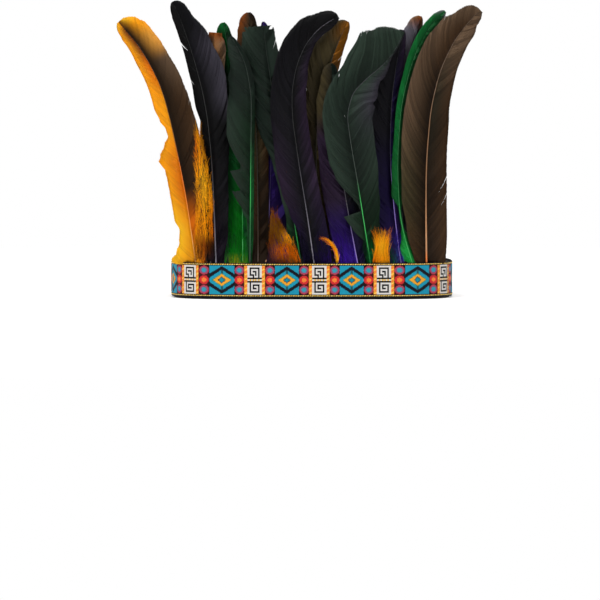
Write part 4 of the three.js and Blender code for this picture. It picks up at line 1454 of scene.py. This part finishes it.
# %% Chart the ribbon's repeat
REPEAT = 35.4
CELLS_A_REPEAT = 84
CELL = REPEAT / CELLS_A_REPEAT
RIBBON_ROWS = 41
RIBBON_LOW = ribbon_low.z
ROW = (BAND_TOP - RIBBON_LOW) / RIBBON_ROWS
FIELD_MIDDLE = BAND_TOP - 20 * ROW
DIAMOND_AT = 21.7
PANEL = 6.4
DISC_COLUMN = 7.6
DISC_AT, DISC_WIDE, DISC_HIGH = 9.3, 2.6, 2.4
BAR_FROM, BAR_TO = 12.15, 13.85
KEY_FROM = 13.9
KEY_MARK = 0.84
EDGE_ROWS = (3, 36)

# Sewn on under tension, the ribbon gives a little where it goes round the two front bends
BEND_FROM = 45
BEND_TO = 105
BEND_EASE = 0.12


def pattern_at(distance):
    """The place in the pattern at a distance round the band."""
    share = np.clip((np.abs(distance) - BEND_FROM) / (BEND_TO - BEND_FROM), 0, 1)
    return distance - np.sign(distance) * BEND_EASE * (BEND_TO - BEND_FROM) * share


KEY = """
WWWWWWWWW
WKKKKKKKW
WKWWWWWKW
WKWKKKWKW
WKWWWKWKW
WKKKWKWKW
WWWKWWWKW
KKKKKKKKK
WGWGWGWGW
KKKKKKKKK
WKWWWWWWW
WKWKKKKKW
WKWKWWWKW
WKWKKKWKW
WKWWWWWKW
WKKKKKKKW
WWWWWWWWW
""".split()

YARNS = {
    "black": ("#060506", 0), "white": ("#E2DEDA", 0.14), "gold": ("#F0B83C", 0.2),
    "orange": ("#F07E1E", 0.2), "turquoise": ("#1496B4", 0.08), "navy": ("#040A1A", 0.06),
    "deep": ("#0F5A6A", 0.06), "green": ("#3C8A4C", 0.1), "saffron": ("#F2A62C", 0.12),
    "teal": ("#128A9E", 0.1), "maroon": ("#44060E", 0.02), "wine": ("#1E040A", 0),
    "rose": ("#B83A50", 0.14), "violet": ("#84587E", 0.08), "sky": ("#2E9CB2", 0.1),
    "red": ("#D42A2C", 0.14), "coral": ("#F88838", 0.1), "brown": ("#6A3212", 0.04),
}
YARN_NAMES = list(YARNS)


def key_yarn(across, up):
    """The key's yarns: columns from the left, rows from the top, two cells to a mark."""
    letters = {"W": "white", "K": "black", "G": "gold"}
    chart = np.array([[YARN_NAMES.index(letters[c]) for c in row] for row in KEY])
    high, wide = chart.shape
    column = (across / KEY_MARK + wide / 2).astype(int)
    row = ((FIELD_MIDDLE - up) / (2 * ROW) + high / 2).astype(int)
    return chart[np.clip(row, 0, high - 1), np.clip(column, 0, wide - 1)]


def chart(distance, z):
    """The yarn that shows at each place of the ribbon, as a number in the list of yarns."""
    across = (pattern_at(distance) - DIAMOND_AT + REPEAT / 2) % REPEAT - REPEAT / 2
    a, b = np.abs(across), np.abs(z - FIELD_MIDDLE)
    yarn = np.full(a.shape, YARN_NAMES.index("maroon"))

    def put(name, where):
        yarn[where] = YARN_NAMES.index(name)

    put("wine", a < DISC_COLUMN)
    # The three discs, one above the other
    for middle, names in ((5.3, ("rose", "violet", "sky")), (0, ("red", "red", "coral"))):
        disc = np.hypot((a - DISC_AT) / DISC_WIDE, (b - middle) / DISC_HIGH)
        put(names[0], disc < 1)
        put(names[1], disc < 0.76)
        put(names[2], disc < 0.5)
    # The panel, and its diamonds from the outside inwards
    panel = a < PANEL
    chevron = 0.66 * a + b
    inner = 0.72 * a + b
    diamond = 0.7 * a + b
    put("turquoise", panel)
    put("navy", panel & (chevron < 7.6))
    put("turquoise", panel & (inner < 5.6))
    put("deep", panel & (a < 0.6) & (inner < 5.6))
    put("green", diamond < 3.6)
    put("saffron", diamond < 3.2)
    put("navy", a + b < 2.0)
    put("teal", a + b < 1.5)
    # The bars and the key
    twist = ((z + across) / 0.65).astype(int) % 2 == 0
    bar = (a > BAR_FROM) & (a < BAR_TO)
    put("orange", bar)
    put("gold", bar & twist)
    from_key = np.where(across > 0, across - REPEAT / 2, across + REPEAT / 2)
    yarn = np.where(a >= KEY_FROM, key_yarn(from_key, z), yarn)
    # The edges, row by row
    row = ((BAND_TOP - z) / ROW).astype(int)
    put("black", (row < EDGE_ROWS[0]) | (row > EDGE_ROWS[1]))
    return yarn


print("cells in a repeat:", CELLS_A_REPEAT, "by", RIBBON_ROWS)

# %% [markdown]
# ## The ribbon
# A grid with one face for each cell is laid along the plan. Floating wefts stand a little proud of the
# ground, so each cell's height comes from its yarn. The ribbon's end goes over its start at the back of
# the head. The rim is then extruded inwards and its two long edges are bridged, which closes the back.

# %% Model the ribbon
RIBBON_THICKNESS = 0.75
LAP = 14
LAP_LIFT = 0.85
LAP_RAMP = 2.5

first_cell = np.floor((-(LOOP + LAP) / 2 - DIAMOND_AT) / CELL) + 0.5
ribbon_start = DIAMOND_AT + first_cell * CELL
columns = int((LOOP + LAP) / CELL)
bpy.ops.object.select_all(action="DESELECT")
bpy.ops.mesh.primitive_grid_add(x_subdivisions=columns, y_subdivisions=RIBBON_ROWS, size=1)
ribbon = bpy.context.object
ribbon.name = "jacquard_ribbon"
shares = points_of(ribbon)[:, :2] + 0.5
tape = ribbon_start + shares[:, 0] * columns * CELL
heights = RIBBON_LOW + shares[:, 1] * (BAND_TOP - RIBBON_LOW)

# The yarn of each face, and the mean relief of the faces round each vertex
cells = len(ribbon.data.polygons)
corners = np.empty(cells * 4, int)
ribbon.data.loops.foreach_get("vertex_index", corners)
corners = corners.reshape(-1, 4)
cell_yarn = chart(tape[corners].mean(axis=1), heights[corners].mean(axis=1))
relief = np.array([height for _, height in YARNS.values()])[cell_yarn]
raised, faces_round = np.zeros(len(tape)), np.zeros(len(tape))
np.add.at(raised, corners.ravel(), np.repeat(relief, 4))
np.add.at(faces_round, corners.ravel(), 1)
proud = raised / faces_round


def lap_lift(distance):
    """How far the ribbon's end is lifted to go over its start."""
    return LAP_LIFT * smooth_step((distance - (LOOP - LAP) / 2 + LAP_RAMP) / LAP_RAMP)


def on_ribbon(distance, z, height):
    """Places on the ribbon's face, at a height above its ground."""
    return on_band(distance, z, RIBBON_WALL - 0.1 - RIBBON_THICKNESS - height - lap_lift(distance))


set_points(ribbon, to_frame(on_ribbon(tape, heights, proud)))
print("ribbon cells:", cells, "columns:", columns)

# %% [markdown]
# The rim is extruded with its edges, so the new vertices keep the tape and height of the old ones, and
# can be set back by the ribbon's thickness. The two long edges are then bridged into a plain back.

# %% Give the ribbon its thickness and its yarns' colours
set_fact(ribbon, "tape", tape)
set_fact(ribbon, "height", heights)


def fact_of(obj, name):
    values = np.empty(len(obj.data.vertices))
    obj.data.attributes[name].data.foreach_get("value", values)
    return values


def select_edges(obj, wanted):
    """Leaves the object in edit mode with only the wanted edges selected."""
    only(obj)
    bpy.ops.object.mode_set(mode="EDIT")
    bpy.ops.mesh.select_mode(type="EDGE")
    bpy.ops.mesh.select_all(action="DESELECT")
    bpy.ops.object.mode_set(mode="OBJECT")
    ends = np.empty(len(obj.data.edges) * 2, int)
    obj.data.edges.foreach_get("vertices", ends)
    obj.data.edges.foreach_set("select", wanted(ends.reshape(-1, 2)))
    bpy.ops.object.mode_set(mode="EDIT")


def on_side(values, ends, limit):
    """Edges whose both ends lie at a limit of a fact."""
    return np.all(np.abs(values[ends] - limit) < 1e-3, axis=1)


front_points = len(tape)
sides = [(tape, tape.min()), (tape, tape.max()), (heights, heights.min()), (heights, heights.max())]
select_edges(ribbon, lambda ends: np.any([on_side(v, ends, at) for v, at in sides], axis=0))
bpy.ops.mesh.extrude_region()
bpy.ops.object.mode_set(mode="OBJECT")
all_tape, all_height = fact_of(ribbon, "tape"), fact_of(ribbon, "height")
depth = np.concatenate([proud, np.full(len(all_tape) - front_points, -RIBBON_THICKNESS)])
set_points(ribbon, to_frame(on_ribbon(all_tape, all_height, depth)))


def behind(ends):
    return np.all(ends >= front_points, axis=1)


long_edges = (heights.min(), heights.max())
select_edges(
    ribbon,
    lambda ends: behind(ends) & np.any([on_side(all_height, ends, at) for at in long_edges], axis=0),
)
bpy.ops.mesh.bridge_edge_loops()
bpy.ops.object.mode_set(mode="OBJECT")
for end in (tape.min(), tape.max()):
    select_edges(ribbon, lambda ends: behind(ends) & on_side(all_tape, ends, end))
    bpy.ops.mesh.edge_face_add()
    bpy.ops.object.mode_set(mode="OBJECT")
face_outwards(ribbon)

# Each face's corners take its yarn's colour, and the weave is measured in millimetres
corner_count = len(ribbon.data.loops)
corner_point = np.empty(corner_count, int)
ribbon.data.loops.foreach_get("vertex_index", corner_point)
colours = np.tile(linear("#100D10"), (corner_count, 1))
colours[: cells * 4] = np.repeat([linear(YARNS[YARN_NAMES[y]][0]) for y in cell_yarn], 4, axis=0)
set_yarn(ribbon, colours, "CORNER")
weave = ribbon.data.uv_layers.new(name="weave")
weave_places = np.stack([all_tape[corner_point], all_height[corner_point]], axis=1)
weave.data.foreach_set("uv", weave_places.astype(np.float32).ravel())
bpy.ops.object.shade_smooth_by_angle(angle=np.radians(50))
print("ribbon faces:", len(ribbon.data.polygons))

# %% [markdown]
# Rayon yarn is bright and has a soft gloss along each float. Every cell has two floats, one above the
# other, with a dark line where they dive under the warp. The yarn's colour follows the floats' relief:
# the dark line is the warp between them, and the lighter crest of each float is painted sheen.
# Single threads are finer than this.

# %% Material of the ribbon
def wave_of(tree, value, length):
    """A wave from 0 to 1 along a value in millimetres, low where the value is a multiple."""
    turns = add_node(tree, "ShaderNodeMath", {0: value, 1: np.pi / length}, operation="MULTIPLY")
    sine = add_node(tree, "ShaderNodeMath", {0: turns.outputs[0]}, operation="SINE")
    return add_node(tree, "ShaderNodeMath", {0: sine.outputs[0]}, operation="ABSOLUTE").outputs[0]


rayon, tree, shader = new_material(
    "woven_rayon_jacquard", Roughness=0.6, Specular_IOR_Level=0.14, Sheen_Weight=0.02
)
yarn_colour = add_node(tree, "ShaderNodeAttribute", attribute_name="yarn").outputs["Color"]
weave_map = add_node(tree, "ShaderNodeUVMap", uv_map="weave").outputs["UV"]
split = add_node(tree, "ShaderNodeSeparateXYZ", {0: weave_map}).outputs
floats = add_node(
    tree, "ShaderNodeMath",
    {0: wave_of(tree, split["Y"], ROW / 2), 1: wave_of(tree, split["X"], CELL)},
    operation="MULTIPLY",
).outputs[0]
fuzz = add_node(
    tree, "ShaderNodeTexNoise", {"Vector": weave_map, "Scale": 2.2, "Detail": 3.0}
).outputs["Fac"]
# Painted sheen: the colour is made up to 1.12 times lighter on each float's crest, and falls to 0.62 at
# the dark line where it dives.
value = add_node(
    tree, "ShaderNodeMapRange", {"Value": floats, "To Min": 0.62, "To Max": 1.12}
).outputs["Result"]
worn = add_node(
    tree, "ShaderNodeMapRange", {"Value": fuzz, "To Min": 0.75, "To Max": 1.25}
).outputs["Result"]
value = add_node(tree, "ShaderNodeMath", {0: value, 1: worn}, operation="MULTIPLY").outputs[0]
thread = add_node(tree, "ShaderNodeHueSaturation", {"Value": value, "Color": yarn_colour})
tree.links.new(thread.outputs["Color"], shader.inputs["Base Color"])
relief = add_node(tree, "ShaderNodeBump", {"Height": floats, "Strength": 0.6, "Distance": 0.00015})
tree.links.new(relief.outputs["Normal"], shader.inputs["Normal"])
ribbon.data.materials.append(rayon)

# %% [markdown]
# ## Gold stitches
# Metallic gold yarn is plied with orange and lies on the ribbon in slanted stitches: a row along each
# edge, and two upright bars beside each pair of disc columns. One stitch is a small squashed ball.
# It is modelled once and copied, and each copy is bent to the band.

# %% Model the stitches
STITCH_SIDES = 6
EDGE_STITCH = {"pitch": 1.3, "long": 1.15, "wide": 0.52, "slant": 18, "proud": 0.22}
BAR_STITCH = {"pitch": 1.3, "long": 1.95, "wide": 0.85, "slant": 32, "proud": 0.3}
BAR_AT = (BAR_FROM + BAR_TO) / 2

bpy.ops.object.select_all(action="DESELECT")
bpy.ops.mesh.primitive_uv_sphere_add(segments=STITCH_SIDES, ring_count=5, radius=1)
stitch = bpy.context.object
stitch.name = "stitch"
bpy.ops.transform.rotate(value=np.pi / 2, orient_axis="Y", center_override=(0, 0, 0))
bpy.ops.object.transform_apply(location=True, rotation=True, scale=True)
stitch_points = points_of(stitch)


def stitch_rows():
    """Every stitch's tape, height, kind and yarn colour."""
    rows = []
    length = LOOP + LAP
    for z in (BAND_TOP - 1.5 * ROW, BAND_TOP - 38.5 * ROW):
        for k in range(int(length / EDGE_STITCH["pitch"])):
            colour = "#FFE07C" if k % 2 else "#F2BC48"
            rows.append((-length / 2 + (k + 0.5) * EDGE_STITCH["pitch"], z, EDGE_STITCH, colour))
    low, high = BAND_TOP - 36.5 * ROW, BAND_TOP - 3.5 * ROW
    count = round((high - low) / BAR_STITCH["pitch"])
    tape = np.linspace(-length / 2, length / 2, 4000)
    for repeat in range(-8, 9):
        for side in (-1, 1):
            at = DIAMOND_AT + repeat * REPEAT + side * BAR_AT
            at = np.interp(at, pattern_at(tape), tape, left=-length, right=length)
            if abs(at) > length / 2 - 1.5:
                continue
            for k in range(count):
                colour = "#E8721A" if k % 2 else "#F4C04A"
                rows.append((at, low + (k + 0.5) * (high - low) / count, BAR_STITCH, colour))
    return rows


def lay_stitches(rows):
    """Vertex places and colours of all the stitches."""
    places, colours = [], []
    for at, z, kind, colour in rows:
        slant = np.radians(kind["slant"])
        along = stitch_points[:, 0] * kind["long"] / 2
        beside = stitch_points[:, 1] * kind["wide"] / 2
        height = kind["proud"] * (stitch_points[:, 2] * 0.6 + 0.5)
        tape = at + along * np.cos(slant) - beside * np.sin(slant)
        high = z + along * np.sin(slant) + beside * np.cos(slant)
        places.append(on_ribbon(tape, high, height))
        colours += [linear(colour)] * len(stitch_points)
    return np.concatenate(places), np.array(colours)


rows = stitch_rows()
stitches = copies_of(stitch, "gold_stitches", len(rows))
places, stitch_colours = lay_stitches(rows)
set_points(stitches, to_frame(places))
set_yarn(stitches, stitch_colours, "POINT")
face_outwards(stitches)
bpy.ops.object.shade_smooth()
print("stitches:", len(rows), "faces:", len(stitches.data.polygons))

# %% [markdown]
# The gold yarn is a strip of metallised film wound round a thread. It is smoother than rayon and
# glints, but it is mostly yellow thread to the eye, so it is only partly metallic.

# %% Material of the gold stitches, and what carries the ribbon
lurex, tree, shader = new_material(
    "twisted_gold_yarn", Roughness=0.38, Metallic=0.25, Specular_IOR_Level=0.5
)
ply = add_node(tree, "ShaderNodeAttribute", attribute_name="yarn").outputs["Color"]
place = add_node(tree, "ShaderNodeTexCoord").outputs["Object"]
twist = add_node(
    tree, "ShaderNodeTexNoise", {"Vector": place, "Scale": 1 / (0.25 * MM), "Detail": 2.0}
).outputs["Fac"]
glint = add_node(
    tree, "ShaderNodeMapRange", {"Value": twist, "To Min": 0.6, "To Max": 1.35}
).outputs["Result"]
shaded = add_node(tree, "ShaderNodeHueSaturation", {"Value": glint, "Color": ply})
tree.links.new(shaded.outputs["Color"], shader.inputs["Base Color"])
stitches.data.materials.append(lurex)
for piece in (ribbon, stitches):
    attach(piece, "root")
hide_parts("woven_ribbon")

# %% [markdown]
# ## Studio
# The headdress stands on a round white table in a white room, so that no line shows where the table
# ends, with a large soft light on each side and one above. The camera stands three metres off, a little
# above the table, where the band's ends rise as they do in the photograph.

# %% Floor, lights and camera
bpy.ops.object.select_all(action="DESELECT")
bpy.ops.mesh.primitive_circle_add(vertices=96, radius=0.9, fill_type="NGON")
floor = bpy.context.object
floor.name = "floor"
white, tree, shader = new_material("white_paper", Roughness=0.9, Emission_Strength=0.25)
shader.inputs["Emission Color"].default_value = linear("#FFFFFF")
shader.inputs["Base Color"].default_value = linear("#F6F6F6")
floor.data.materials.append(white)

world = bpy.context.scene.world or bpy.data.worlds.new("studio")
bpy.context.scene.world = world
world.use_nodes = True
studio = world.node_tree
room = studio.nodes["Background"]
room.inputs["Color"].default_value = (1, 1, 1, 1)
room.inputs["Strength"].default_value = 0.35
paper = add_node(studio, "ShaderNodeBackground", {"Color": (1, 1, 1, 1), "Strength": 1.0})
seen = add_node(studio, "ShaderNodeLightPath").outputs["Is Camera Ray"]
both = add_node(studio, "ShaderNodeMixShader", {0: seen, 1: room.outputs[0], 2: paper.outputs[0]})
studio.links.new(both.outputs[0], studio.nodes["World Output"].inputs["Surface"])


def soft_light(name, place, size, power, target):
    bpy.ops.object.light_add(type="AREA", location=place)
    light = bpy.context.object
    light.name = name
    light.data.size = size
    light.data.energy = power
    aim = bpy.context.object.location - target
    light.rotation_euler = aim.to_track_quat("Z", "Y").to_euler()
    return light


middle = Vector((0, -0.06, 0.09))
soft_light("key_light", (-0.9, -1.4, 1.0), 0.8, 14, middle)
soft_light("fill_light", (1.3, -1.3, 0.7), 1.0, 6, middle)
soft_light("top_light", (0, -0.2, 1.8), 2.0, 30, middle)

PIXELS_PER_MM = 1.83
PICTURE_WIDTH = 600
SENSOR_WIDTH = 36
DISTANCE = 3.0
ELEVATION = np.radians(2.2)
MIDDLE_PIXEL = 312
AIM_HEIGHT = -0.2
aim_across = (PICTURE_WIDTH / 2 - MIDDLE_PIXEL) / PIXELS_PER_MM
target = Vector(to_frame(np.array([aim_across, -FRONT_DEPTH, AIM_HEIGHT])))
bpy.ops.object.camera_add()
camera = bpy.context.object
camera.location = target + Vector((0, -DISTANCE * np.cos(ELEVATION), DISTANCE * np.sin(ELEVATION)))
camera.rotation_euler = (camera.location - target).to_track_quat("Z", "Y").to_euler()
camera.data.sensor_width = SENSOR_WIDTH
camera.data.lens = SENSOR_WIDTH * DISTANCE / (PICTURE_WIDTH / PIXELS_PER_MM * MM)
camera.data.clip_end = 50
bpy.context.scene.camera = camera
bpy.context.scene.view_settings.view_transform = "Standard"

# %% [markdown]
# ## Finishing
# The four patterns that were copied are taken away.

# %% Clear up and finish
for pattern in (barb, rod, spike, stitch):
    bpy.data.objects.remove(pattern)
